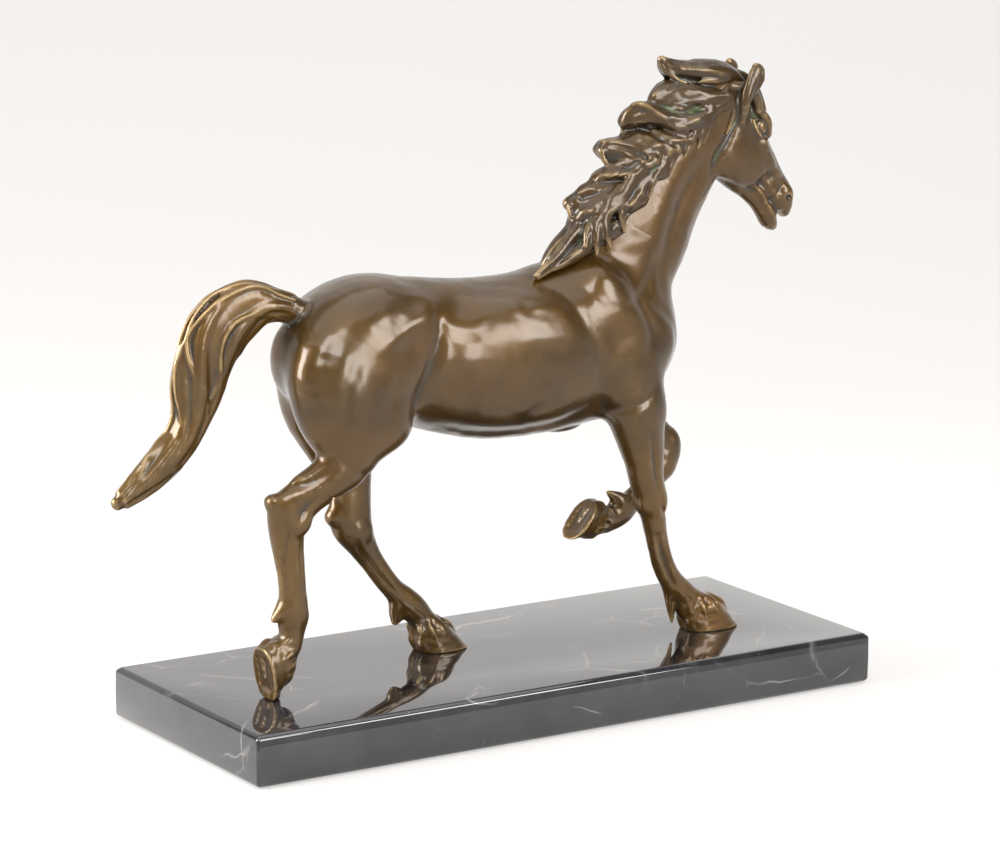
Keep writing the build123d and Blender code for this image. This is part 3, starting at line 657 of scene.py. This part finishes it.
def tail(f):
    """Tail as a flat bundle of long strands that twist about each other."""
    line = spline(TAIL, 3)
    inward = across_line(line)
    tube(f, TAIL, 1, step=3, scale=0.84)
    count = len(line)
    for k in range(17):
        big = k < 7
        strand = []
        for i in range(0, count, 2):
            t = i / (count - 1)
            turn = (2 * pi * (k + 0.3 * sin(3 * k)) / (7 if big else 10) + 1.5 * t + 0.45 * sin(6 * t + k)
                    + (0 if big else 0.5 * sin(11 * t + 2 * k)))
            wide, deep = line[i, 3], line[i, 4]
            out = 0.33 if big else 0.47
            centre = line[i, :3] + inward[i] * out * deep * cos(turn)
            centre[1] += out * 0.9 * wide * sin(turn)
            size = (wide * 0.5, min(deep * 0.36, 7.2)) if big else (1.5, 1.7)
            fade = 0.9 + 0.2 * sin(k + 5 * t)
            strand.append((*centre, size[0] * fade, size[1] * fade))
        tube(f, strand, 0.7 if big else 0.9, step=2)
    uneven(f, 0.03, 9)


# ---------------------------------------------------------------- castings as meshes
PITCH = {"torso": 0.75, "neck": 0.6, "head": 0.4, "mane": 0.42, "tail": 0.5, "leg": 0.5}
COARSE = 1.0
OVERLAP = 2.0               # each casting runs this far into its neighbour
NARROWING = 0.15            # how fast it narrows there, so that the outer skin hides it

BOXES = {                   # lowest and highest corner that each casting can reach
    "torso": ((-103, -33, 94), (79, 33, 192)),
    "neck": ((34, -20, 160), (108, 20, 232)),
    "head": ((80, -16, 166), (135, 16, 243)),
    "mane": ((4, -18, 160), (110, 14, 245)),
    "tail": ((-168, -10, 90), (-84, 10, 178)),
    "foreleg_right": ((34, -32, 17), (106, -4, 115)),
    "foreleg_left": ((30, -4, 48), (96, 32, 119)),
    "hindleg_right": ((-118, -32, 17), (-80, -4, 106)),
    "hindleg_left": ((-76, 4, 17), (-2, 32, 112)),
}
LEG_LINES = {"foreleg_right": FORE_RIGHT, "foreleg_left": FORE_LEFT,
             "hindleg_right": HIND_RIGHT, "hindleg_left": HIND_LEFT}
HOOVES = {                  # coronet, sole centre, way to the toe, sole's normal, width, length
    "foreleg_right": ((83.5, -13, 31), (88.1, -13, BASE_TOP), (1, 0, 0), (0, 0, -1), 17, 24.6),
    "hindleg_left": ((-23.2, 14, 30.5), (-17.6, 14, BASE_TOP), (1, 0, 0), (0, 0, -1), 17, 21.8),
    "hindleg_right": ((-101, -15, 35.5), (-110.3, -14.4, 29.8), (0.15, 0, -0.985), (-0.985, 0, -0.15),
                      15.5, 22),
    "foreleg_left": ((50.5, 7.5, 62.4), (41, 7.2, 64.6), (-0.62, 0, -0.78), (-0.78, 0, 0.62), 14.5, 19),
}
BONES = {                   # bony bumps on each leg: (centre, half-sizes)
    "foreleg_right": [((76, -13.3, 30), (3.4, 3.4, 5)), ((59.2, -17, 74.5), (3.8, 4.4, 5)),
                      ((53.5, -17.6, 73.5), (2.2, 3, 3.4))],
    "foreleg_left": [((60, 8.2, 69), (3.4, 3, 3.4)), ((87.5, 14.2, 87.5), (4, 4.8, 6)),
                     ((84, 13.6, 78.5), (3, 4, 3))],
    "hindleg_right": [((-106.5, -14.4, 21.6), (2.7, 2.7, 3.4)), ((-108, -17.8, 94), (3.2, 3.4, 3.2)),
                      ((-98.5, -13.5, 86), (5, 3, 5)), ((-99, -21.5, 86), (4.4, 2.6, 4.4))],
    "hindleg_left": [((-63, 16.8, 76), (3, 3.2, 3)), ((-53, 13, 70), (4.4, 2.6, 4.4)),
                     ((-53, 20, 70), (4.4, 2.4, 4.4))],
}
ERGOTS = {                  # tuft behind each fetlock, as a tapering tube
    "foreleg_right": [(69.6, -13.3, 40, 6, 6.4), (70, -13.3, 34.5, 4.6, 5.4), (70.4, -13.2, 29, 3, 3.4),
                      (71.0, -13, 24, 1, 1.2)],
    "foreleg_left": [(61, 8, 67.5, 6, 6), (59, 8, 70.3, 4.5, 5), (56.4, 8, 72, 3, 3.4),
                     (54.6, 8, 73.3, 1.4, 1.4)],
    "hindleg_right": [(-100.5, -15.6, 54.5, 8, 8), (-104, -15.8, 51.8, 5.5, 5.5),
                      (-106.6, -15.8, 50, 2.6, 3)],
    "hindleg_left": [(-35.5, 14.2, 41, 7, 8), (-36.2, 14.1, 36.5, 5.5, 7.5), (-37.4, 14, 33.3, 3.4, 3.6)],
}


def leg_details(f):
    """Joints, tendons, ergots and hooves."""
    for name, bumps in BONES.items():
        for centre, radii in bumps:
            ball(f, centre, radii, 2.4)
        tube(f, ERGOTS[name], 1.3, step=1.5)
        hoof(f, *HOOVES[name])
    stroke(f, [(-104, 84), (-104.5, 74), (-103, 64), (-102, 55)], 1.1, -0.7, side=-1, depth=(-32, 0))
    stroke(f, [(-98.5, 80), (-98, 70), (-97, 60)], 1.0, -0.4, side=-1)
    stroke(f, [(-110, 98), (-103, 99), (-95, 101), (-86, 106)], 1.6, -0.9, side=-1)
    stroke(f, [(-92, 96), (-98, 92), (-101, 86)], 1.8, -0.9, side=-1)
    stroke(f, [(-87, 112), (-80, 104), (-72, 101)], 1.6, -0.7, side=-1)
    stroke(f, [(-54, 64), (-49, 57), (-43, 49.5), (-37, 43)], 1.0, -0.6, side=1)
    stroke(f, [(-62, 92), (-62, 84), (-60, 78)], 1.5, -0.8, side=1)
    stroke(f, [(50, 104), (53, 94), (55.5, 84), (58.5, 77)], 1.5, -0.8, side=-1, depth=(-32, -17))
    stroke(f, [(58, 76), (61, 70), (64, 69)], 1.3, -0.6, side=-1, depth=(-32, -14))
    stroke(f, [(59.5, 62), (62.5, 53), (65.8, 45.5), (69.5, 38.5)], 1.2, -1.3, side=-1)
    stroke(f, [(64.5, 60), (67.5, 50), (72, 42)], 1.4, 0.35, side=-1)
    stroke(f, [(75, 100), (80, 92), (83, 86)], 1.5, -0.7, side=1)
    stroke(f, [(78, 72), (70, 69.5), (64, 68)], 0.9, -0.5, side=1)


def along_cut(f, name):
    """Distance beyond a joint face along the casting, negative past it, kept near the casting's line."""
    point, direction, reach = CUTS[name]
    d = np.array(direction) / np.linalg.norm(direction)
    x, y, z = np.ix_(*f.axes)
    past = -((x - point[0]) * d[0] + (y - point[1]) * d[1] + (z - point[2]) * d[2])
    if name not in LEG_LINES:
        return past.astype(f32)
    near = np.full(f.value.shape, 1e3, dtype=f32)
    coronet, sole, forward, _, _, length = HOOVES[name]
    toe = np.array(sole) + np.array(forward) * length / 2
    for row in (*spline([s[:3] for s in LEG_LINES[name]], 6), coronet, sole, toe):
        gap = (x - row[0])**2 + (y - row[1])**2 + (z - row[2])**2
        near = np.minimum(near, gap.astype(f32))
    return np.maximum(past, np.sqrt(near) - reach).astype(f32)


def casting(name):
    """One casting's closed mesh as (vertices, quads, wear, hollow), in millimetres."""
    pitch = PITCH.get(name, PITCH["leg"]) * COARSE
    f = Field(*BOXES[name], pitch)
    if name == "mane":
        mane(f)
    elif name == "tail":
        tail(f)
    else:
        torso_and_limbs(f)
        if name in LEG_LINES or name == "torso":
            leg_details(f)
        if name in ("head", "neck"):
            head(f)
        if name == "torso":
            tube(f, TAIL[:3], 2, step=3)
    whole = f.value
    cuts = [along_cut(f, name)] if name in CUTS else []
    others = {"neck": ("head",), "torso": (*LEG_LINES, "neck", "tail")}.get(name, ())
    cuts += [-along_cut(f, other) for other in others]
    for past in cuts:
        f.value = np.maximum(f.value + NARROWING * np.clip(past, 0, OVERLAP), past - OVERLAP)
    if name in LEG_LINES and name != "foreleg_left":
        f.value = np.maximum(f.value, BASE_TOP - f.axes[2])
    for axis in range(3):
        for end in (0, -1):
            index = [slice(None)] * 3
            index[axis] = end
            f.value[tuple(index)] = np.maximum(f.value[tuple(index)], 0.5)
    vertices, quads = surface(f, f.value)
    fine = blurred(whole, 2) - whole
    broad = blurred(whole, 8) - whole
    wear = sample(f, fine, vertices) / pitch**2
    hollow = sample(f, broad, vertices) / pitch**2
    return vertices, quads, wear, hollow


def largest_part(vertices, quads):
    """Keeps the biggest connected part of a mesh. Returns a mask of its vertices."""
    label = np.arange(len(vertices))
    for _ in range(200):
        low = label[quads].min(axis=1)
        fresh = label.copy()
        for k in range(4):
            np.minimum.at(fresh, quads[:, k], low)
        fresh = fresh[fresh]
        if np.array_equal(fresh, label):
            break
        label = fresh
    values, counts = np.unique(label, return_counts=True)
    return label == values[np.argmax(counts)]


def place_object(name, mesh):
    made = bpy.data.objects.new(name, mesh)
    bpy.context.collection.objects.link(made)
    return made


def bmesh_object(name, b):
    """Blender object from a bmesh, which is freed."""
    mesh = bpy.data.meshes.new(name)
    b.to_mesh(mesh)
    b.free()
    return place_object(name, mesh)


def mesh_object(name, vertices, quads, values):
    """Blender object from numpy arrays in millimetres, with values as vertex attributes."""
    mesh = bpy.data.meshes.new(name)
    mesh.vertices.add(len(vertices))
    mesh.vertices.foreach_set("co", (vertices * MM).astype(f32).ravel())
    mesh.loops.add(quads.size)
    mesh.loops.foreach_set("vertex_index", quads.astype(np.int32).ravel())
    mesh.polygons.add(len(quads))
    mesh.polygons.foreach_set("loop_start", np.arange(0, quads.size, 4, dtype=np.int32))
    mesh.update(calc_edges=True)
    for key, data in values.items():
        attribute = mesh.attributes.new(key, "FLOAT", "POINT")
        attribute.data.foreach_set("value", data.astype(f32))
    mesh.polygons.foreach_set("use_smooth", np.ones(len(quads), dtype=bool))
    return place_object(name, mesh)


def smoothed(vertices, quads, times, amount=0.5):
    """Vertices moved towards their neighbours' mean."""
    for _ in range(times):
        total = np.zeros_like(vertices)
        count = np.zeros(len(vertices))
        for k in range(4):
            for j in ((k + 1) % 4, (k - 1) % 4):
                for axis in range(3):
                    total[:, axis] += np.bincount(quads[:, k], vertices[quads[:, j], axis], len(vertices))
                count += np.bincount(quads[:, k], minlength=len(vertices))
        vertices = vertices + amount * (total / np.maximum(count, 1)[:, None] - vertices)
    return vertices


# ---------------------------------------------------------------- materials
class Nodes:
    """Short way to build a node material."""

    def __init__(self, name):
        self.material = bpy.data.materials.new(name)
        self.material.use_nodes = True
        self.tree = self.material.node_tree
        self.shader = self.tree.nodes["Principled BSDF"]
        self.place = self.add("ShaderNodeTexCoord").outputs["Object"]

    def add(self, kind, settings=None, **inputs):
        node = self.tree.nodes.new(kind)
        for key, value in (settings or {}).items():
            setattr(node, key, value)
        for key, value in inputs.items():
            self.put(node, key.replace("_", " "), value)
        return node

    def put(self, node, key, value):
        socket = node.inputs[int(key)] if key.isdigit() else node.inputs[key]
        if isinstance(value, bpy.types.NodeSocket):
            self.tree.links.new(value, socket)
        else:
            socket.default_value = value

    def math(self, operation, a, b=0.0, clamp=False):
        node = self.add("ShaderNodeMath", {"operation": operation, "use_clamp": clamp})
        self.put(node, "0", a)
        self.put(node, "1", b)
        return node.outputs[0]

    def ramp(self, value, *stops):
        """Colour ramp through (position, colour) stops; a number stands for a grey."""
        node = self.add("ShaderNodeValToRGB", Fac=value)
        band = node.color_ramp
        while len(band.elements) < len(stops):
            band.elements.new(0.5)
        for element, (position, colour) in zip(band.elements, stops):
            element.position = position
            element.color = (*colour, 1) if isinstance(colour, tuple) else (colour, colour, colour, 1)
        return node.outputs[0]

    def mix(self, factor, a, b):
        """Blend from colour a to colour b."""
        node = self.add("ShaderNodeMix", {"data_type": "RGBA"})
        for socket, value in (("0", factor), ("6", a), ("7", b)):
            self.put(node, socket, (*value, 1) if isinstance(value, tuple) else value)
        return node.outputs[2]

    def noise(self, scale, detail=4.0, roughness=0.55, distortion=0.0):
        node = self.add("ShaderNodeTexNoise", Vector=self.place, Scale=scale, Detail=detail,
                        Roughness=roughness, Distortion=distortion)
        return node.outputs["Fac"]

    def bump(self, height, strength, distance, **normal):
        """Bump of a given height in metres, on top of an earlier one given as Normal."""
        node = self.add("ShaderNodeBump", Height=height, Strength=strength, Distance=distance, **normal)
        return node.outputs[0]


def bronze_material(name, tone=1.0, rubbed=1.0, upper=0.34):
    """Waxed brown patina, rubbed golden on high edges, dark green-brown in the hollows and darker high up."""
    def shade(*colour):
        return tuple(c * tone for c in colour)

    n = Nodes(name)
    wear = n.add("ShaderNodeAttribute", {"attribute_name": "wear"}).outputs["Fac"]
    hollow = n.add("ShaderNodeAttribute", {"attribute_name": "hollow"}).outputs["Fac"]
    clouds = n.noise(45, 5, 0.6)
    patches = n.noise(14, 3, 0.5, 0.4)
    grain = n.noise(420, 3, 0.6)
    body = n.mix(n.ramp(clouds, (0.35, 0.0), (0.65, 1.0)), shade(0.050, 0.0250, 0.0030),
                 shade(0.105, 0.056, 0.0100))
    body = n.mix(n.ramp(patches, (0.45, 0.0), (0.7, 1.0)), body, shade(0.118, 0.055, 0.0060))
    body = n.mix(n.ramp(n.noise(30, 4, 0.6, 0.2), (0.56, 0.0), (0.7, 0.55)), body, shade(0.090, 0.060, 0.030))
    height = n.add("ShaderNodeSeparateXYZ")
    n.put(height, "Vector", n.place)
    body = n.mix(n.ramp(height.outputs["Z"], (0.07, 0.04), (0.13, upper)), body, (0.012, 0.006, 0.002))
    rub = n.math("ADD", wear, n.math("MULTIPLY", n.math("SUBTRACT", n.noise(160, 3), 0.5), 0.9))
    body = n.mix(n.ramp(rub, (0.28, 0.0), (0.95, 0.8 * rubbed)), body, (0.31, 0.208, 0.090))
    dirt = n.math("ADD", hollow, n.math("MULTIPLY", n.math("SUBTRACT", grain, 0.5), 0.3))
    dark = n.ramp(n.math("MULTIPLY", dirt, -1.0), (0.12, 0.0), (0.9, 0.92))
    body = n.mix(dark, body, (0.020, 0.0145, 0.0075))
    green = n.math("MULTIPLY", n.ramp(n.math("MULTIPLY", dirt, -1.0), (0.5, 0.0), (1.4, 1.0)),
                   n.ramp(n.noise(60, 4), (0.56, 0.0), (0.68, 0.55)))
    body = n.mix(green, body, (0.10, 0.13, 0.05))
    n.put(n.shader, "Base Color", body)
    n.put(n.shader, "Metallic", n.ramp(dark, (0.0, 0.55), (1.0, 0.2)))
    rough = n.math("ADD", n.math("MULTIPLY", n.noise(90, 4), 0.18), 0.30)
    n.put(n.shader, "Roughness", n.math("ADD", rough, n.math("MULTIPLY", dark, 0.2), clamp=True))
    n.put(n.shader, "Specular IOR Level", 0.2)
    n.put(n.shader, "Coat Weight", 0.8)
    n.put(n.shader, "Coat Roughness", n.ramp(n.noise(70, 4), (0.35, 0.15), (0.7, 0.26)))
    n.put(n.shader, "Coat IOR", 1.5)
    pits = n.add("ShaderNodeTexVoronoi", {"feature": "F1"}, Vector=n.place, Scale=150.0)
    holes = n.ramp(pits.outputs["Distance"], (0.0, 0.0), (0.07, 1.0))
    normal = n.bump(n.noise(260, 4, 0.6), 0.22, 0.0003)
    normal = n.bump(n.noise(75, 3), 0.25, 0.0009, Normal=normal)
    n.put(n.shader, "Normal", n.bump(holes, 0.35, 0.0003, Normal=normal))
    return n.material


def marble_material():
    """Black marble: sparse thin white veins, faint grey clouds and small flecks under a polish."""
    n = Nodes("marble")
    swirl = n.add("ShaderNodeTexNoise", Vector=n.place, Scale=16.0, Detail=4.0)
    lean = n.add("ShaderNodeVectorMath", {"operation": "SCALE"}, Scale=0.03)
    n.put(lean, "0", swirl.outputs["Color"])
    warp = n.add("ShaderNodeVectorMath", {"operation": "ADD"})
    n.put(warp, "0", n.place)
    n.put(warp, "1", lean.outputs[0])
    edges = {"feature": "DISTANCE_TO_EDGE"}
    cells = n.add("ShaderNodeTexVoronoi", edges, Vector=warp.outputs[0], Scale=13.0)
    vein = n.ramp(cells.outputs["Distance"], (0.0, 0.8), (0.006, 0.2), (0.02, 0.0))
    sparse = n.ramp(n.noise(20, 3, 0.5), (0.56, 0.0), (0.66, 1.0))
    second = n.add("ShaderNodeTexVoronoi", edges, Vector=warp.outputs[0], Scale=37.0)
    hair = n.math("MULTIPLY", n.ramp(second.outputs["Distance"], (0.0, 0.5), (0.02, 0.0)),
                  n.ramp(n.noise(31, 2), (0.55, 0.0), (0.66, 1.0)))
    veins = n.math("MAXIMUM", n.math("MULTIPLY", vein, sparse), hair)
    flecks = n.ramp(n.noise(900, 2, 0.5), (0.72, 0.0), (0.78, 0.35))
    grey = n.ramp(n.noise(38, 6, 0.65), (0.4, 0.0), (0.8, 1.0))
    stone = n.mix(grey, (0.006, 0.006, 0.008), (0.028, 0.028, 0.033))
    white = n.math("MAXIMUM", n.math("MULTIPLY", veins, 0.75), flecks, clamp=True)
    stone = n.mix(white, stone, (0.42, 0.40, 0.38))
    n.put(n.shader, "Base Color", stone)
    n.put(n.shader, "Roughness", n.math("ADD", n.math("MULTIPLY", n.noise(120, 3), 0.05), 0.03))
    n.put(n.shader, "IOR", 1.5)
    n.put(n.shader, "Coat Weight", 0.95)
    n.put(n.shader, "Coat Roughness", 0.03)
    n.put(n.shader, "Normal", n.bump(n.noise(200, 2), 0.02, 0.0002))
    return n.material


def felt_material():
    """Dark pressed felt."""
    n = Nodes("felt")
    fibres = n.noise(1500, 5, 0.8, 1.5)
    n.put(n.shader, "Base Color", n.mix(fibres, (0.012, 0.012, 0.013), (0.05, 0.05, 0.052)))
    n.put(n.shader, "Roughness", 0.95)
    n.put(n.shader, "Sheen Weight", 0.1)
    n.put(n.shader, "Normal", n.bump(fibres, 0.7, 0.0004))
    return n.material


def steel_material():
    """Zinc-plated steel with a fine turned grain."""
    n = Nodes("steel")
    grain = n.noise(700, 2, 0.5)
    n.put(n.shader, "Base Color", n.mix(grain, (0.42, 0.43, 0.45), (0.62, 0.62, 0.64)))
    n.put(n.shader, "Metallic", 1.0)
    n.put(n.shader, "Roughness", n.ramp(grain, (0.2, 0.25), (0.8, 0.42)))
    n.put(n.shader, "Normal", n.bump(grain, 0.1, 0.0001))
    return n.material


def stage_material(name, colour):
    """Pale matt paper of the floor and backdrop."""
    n = Nodes(name)
    n.put(n.shader, "Base Color", n.mix(n.noise(3, 2), colour, tuple(c * 0.985 for c in colour)))
    n.put(n.shader, "Roughness", 0.9)
    n.put(n.shader, "Emission Color", (*colour, 1))
    n.put(n.shader, "Emission Strength", 1.72)
    return n.material


# ---------------------------------------------------------------- building
bronze = bronze_material("bronze")
bronze_hair = bronze_material("bronze_hair", 0.6, 0.9, 0.25)
bronze_tail = bronze_material("bronze_tail", 1.0, 1.3, 0.0)
PATINA = {"mane": bronze_hair, "tail": bronze_tail}
steel = steel_material()


def finish_piece(piece, material, slot, *nodes):
    """Gives a new piece its material, hangs it on the root body and hides the CAD nodes that it stands for.
    """
    piece.data.materials.clear()
    piece.data.materials.append(material)
    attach(piece, "root")
    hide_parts(*nodes)


for name in BOXES:
    vertices, quads, wear, hollow = casting(name)
    vertices = smoothed(vertices, quads, 2 if name in ("torso", "neck") else 1)
    keep = largest_part(vertices, quads)
    number = np.cumsum(keep) - 1
    quads = number[quads[keep[quads].all(axis=1)]]
    marks = {"wear": wear[keep], "hollow": hollow[keep]}
    piece = mesh_object(f"{name}_cast", vertices[keep], quads, marks)
    hidden_with_it = ("joint_pins", "core_plugs") if name == "torso" else ()
    finish_piece(piece, PATINA.get(name, bronze), "bronze", name, *hidden_with_it)


# Outline of the marble's side: (height, how far the face stands out from its nominal size)
SLAB_SIDE = [(1, 0.1), (1.5, 0.6), (2.2, 0.9), (10, 1.0), (18.2, 0.9), (18.8, 0.65), (19.6, -0.15),
             (19.9, -0.6), (20, -1.1)]
CORNER = 1.2                # rounding of the slab's upright corners
STUD_SLACK = 0.5            # radial room round a stud in the marble
POCKET_RADIUS = 6.0         # counterbore for a washer and nut
DRILL_LOW, DRILL_HIGH = -0.01, 0.03     # ends of a drill that passes the whole slab, in metres
STUD_SPACING = 0.02         # studs stand at least this far apart along the slab, in metres


def slab_object(length, width):
    """Marble slab as stacked rounded rectangles, from its nominal size in millimetres."""
    b = bmesh.new()
    rings = []
    for height, out in SLAB_SIDE:
        ring = []
        for sx, sy, first in ((1, 1, 0), (-1, 1, 90), (-1, -1, 180), (1, -1, 270)):
            for k in range(7):
                a = radians(first + 15 * k)
                x = sx * (length / 2 + out - CORNER) + CORNER * cos(a)
                y = sy * (width / 2 + out - CORNER) + CORNER * sin(a)
                ring.append(b.verts.new((x * MM, y * MM, height * MM)))
        rings.append(ring)
    for low, high in zip(rings, rings[1:]):
        for k in range(len(low)):
            b.faces.new((low[k - 1], low[k], high[k], high[k - 1]))
    b.faces.new(rings[-1])
    b.faces.new(rings[0][::-1])
    for face in b.faces:
        face.smooth = True
    return bmesh_object("marble_slab", b)


def drill_object(x, y, radius, low, high):
    """Upright cylinder that cuts a hole, in metres."""
    b = bmesh.new()
    bmesh.ops.create_cone(b, cap_ends=True, segments=48, radius1=radius, radius2=radius, depth=high - low)
    bmesh.ops.translate(b, verts=b.verts, vec=(x, y, (high + low) / 2))
    return bmesh_object("drill", b)


base_low, base_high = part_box("marble_base")
slab = slab_object((base_high[0] - base_low[0]) / MM, (base_high[1] - base_low[1]) / MM)
drills = []
# a hole for each stud and a counterbore for its washer, where the CAD's studs stand
for stud_node, washer_node in (("hoof_studs_m4", "washers_m4"), ("toe_stud_m3", "washer_m3")):
    islands = {}
    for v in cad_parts[stud_node].data.vertices:
        islands.setdefault(round(v.co.x / STUD_SPACING), []).append(v.co)
    top_of_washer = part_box(washer_node)[1][2]
    for points in islands.values():
        xs, ys = [p.x for p in points], [p.y for p in points]
        cx, cy, r = (min(xs) + max(xs)) / 2, (min(ys) + max(ys)) / 2, (max(xs) - min(xs)) / 2
        drills.append(drill_object(cx, cy, r + STUD_SLACK * MM, DRILL_LOW, DRILL_HIGH))
        drills.append(drill_object(cx, cy, POCKET_RADIUS * MM, DRILL_LOW, top_of_washer))
for drill in drills:
    cut = slab.modifiers.new("cut", "BOOLEAN")
    cut.operation, cut.object, cut.solver = "DIFFERENCE", drill, "EXACT"
baked = bpy.data.meshes.new_from_object(slab.evaluated_get(bpy.context.evaluated_depsgraph_get()))
slab.modifiers.clear()
slab.data = baked
slab.data.set_sharp_from_angle(angle=radians(35))
for drill in drills:
    bpy.data.objects.remove(drill)
finish_piece(slab, marble_material(), "marble", "marble_base")

for name, material in (("felt_pad", felt_material()), ("hoof_studs_m4", steel), ("toe_stud_m3", steel),
                       ("washers_m4", steel), ("washer_m3", steel), ("nuts_m4", steel), ("nut_m3", steel)):
    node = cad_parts[name]
    node.data.materials.clear()
    node.data.materials.append(material)

# ---------------------------------------------------------------- floor, light and camera
# The backdrop is a sheet of paper that rises behind the horse, as (distance back, height) in metres
sweep = [(-3, 0), (0.62, 0), (0.9, 0.02), (1.2, 0.1), (1.5, 0.25), (1.8, 0.5), (2.1, 0.9), (2.3, 1.5),
         (2.4, 3.0)]
HALF_PAPER = 4              # half the sheet's width
toward = Vector((0.54, 0.8416, 0))
across = Vector((0.8416, -0.54, 0))
b = bmesh.new()
rows = []
for reach, height in sweep:
    foot = toward * reach + Vector((0, 0, height))
    rows.append([b.verts.new(foot + across * s) for s in (-HALF_PAPER, HALF_PAPER)])
for (a, c), (d, e) in zip(rows, rows[1:]):
    b.faces.new((a, c, e, d)).smooth = True
backdrop = bmesh_object("backdrop", b)
backdrop.data.materials.append(stage_material("paper", (0.3, 0.294, 0.288)))


LIGHT_AIM = Vector((0, 0, 0.12))
LIGHT_DISTANCE = 1.3
CAMERA_AIM = Vector((0, 0, 0.107))
CAMERA_DISTANCE = 1.553
CAMERA_AZIMUTH, CAMERA_ELEVATION, CAMERA_ROLL = -32.7, 12.1, 0.35    # in degrees


def way_from(azimuth, elevation):
    """Unit vector from the horse towards a direction in degrees."""
    a, e = radians(azimuth), radians(elevation)
    return Vector((sin(a) * cos(e), -cos(a) * cos(e), sin(e)))


def softbox(name, azimuth, elevation, width, height, power, colour=(1, 1, 1)):
    """Area light aimed at the horse from a direction given as for the camera."""
    way = way_from(azimuth, elevation)
    light = bpy.data.lights.new(name, "AREA")
    light.shape, light.size, light.size_y = "RECTANGLE", width, height
    light.energy, light.color = power, colour
    lamp = place_object(name, light)
    lamp.location = LIGHT_AIM + way * LIGHT_DISTANCE
    lamp.rotation_euler = (-way).to_track_quat("-Z", "Y").to_euler()


# name, azimuth, elevation, width, height, power, colour
softbox("window_right", 30, 27, 0.45, 0.5, 8, (1.0, 0.99, 0.97))
softbox("window_front", 9, 14, 0.35, 0.5, 6, (1.0, 0.99, 0.97))
softbox("window_left", -105, 22, 0.8, 0.8, 34, (1.0, 0.99, 0.98))
softbox("window_high", -27, 42, 0.45, 0.6, 9, (1.0, 0.99, 0.98))
softbox("overhead", 0, 88, 1.8, 1.6, 14)
world = bpy.data.worlds.new("studio")
world.use_nodes = True
# the room is bright near the floor and dim above
wires = world.node_tree
way_up = wires.nodes.new("ShaderNodeSeparateXYZ")
height_glow = wires.nodes.new("ShaderNodeValToRGB")
wires.links.new(wires.nodes.new("ShaderNodeTexCoord").outputs["Generated"], way_up.inputs[0])
wires.links.new(way_up.outputs["Z"], height_glow.inputs[0])
wires.links.new(height_glow.outputs[0], wires.nodes["Background"].inputs[0])
for element, (height, glow) in zip(height_glow.color_ramp.elements, ((0.08, 0.8), (0.32, 0.22))):
    element.position = height
    element.color = (glow, 0.985 * glow, 0.965 * glow, 1)
bpy.context.scene.world = world
bpy.context.scene.view_settings.view_transform = "Standard"

camera = bpy.data.cameras.new("camera")
camera.lens, camera.sensor_width = 149, 36
camera.clip_start, camera.clip_end = 0.05, 20
eye = place_object("camera", camera)
back = way_from(CAMERA_AZIMUTH, CAMERA_ELEVATION)
eye.location = CAMERA_AIM + back * CAMERA_DISTANCE
turn = (-back).to_track_quat("-Z", "Y").to_matrix()
eye.rotation_euler = (turn @ Matrix.Rotation(radians(CAMERA_ROLL), 3, "Z")).to_euler()
bpy.context.scene.camera = eye
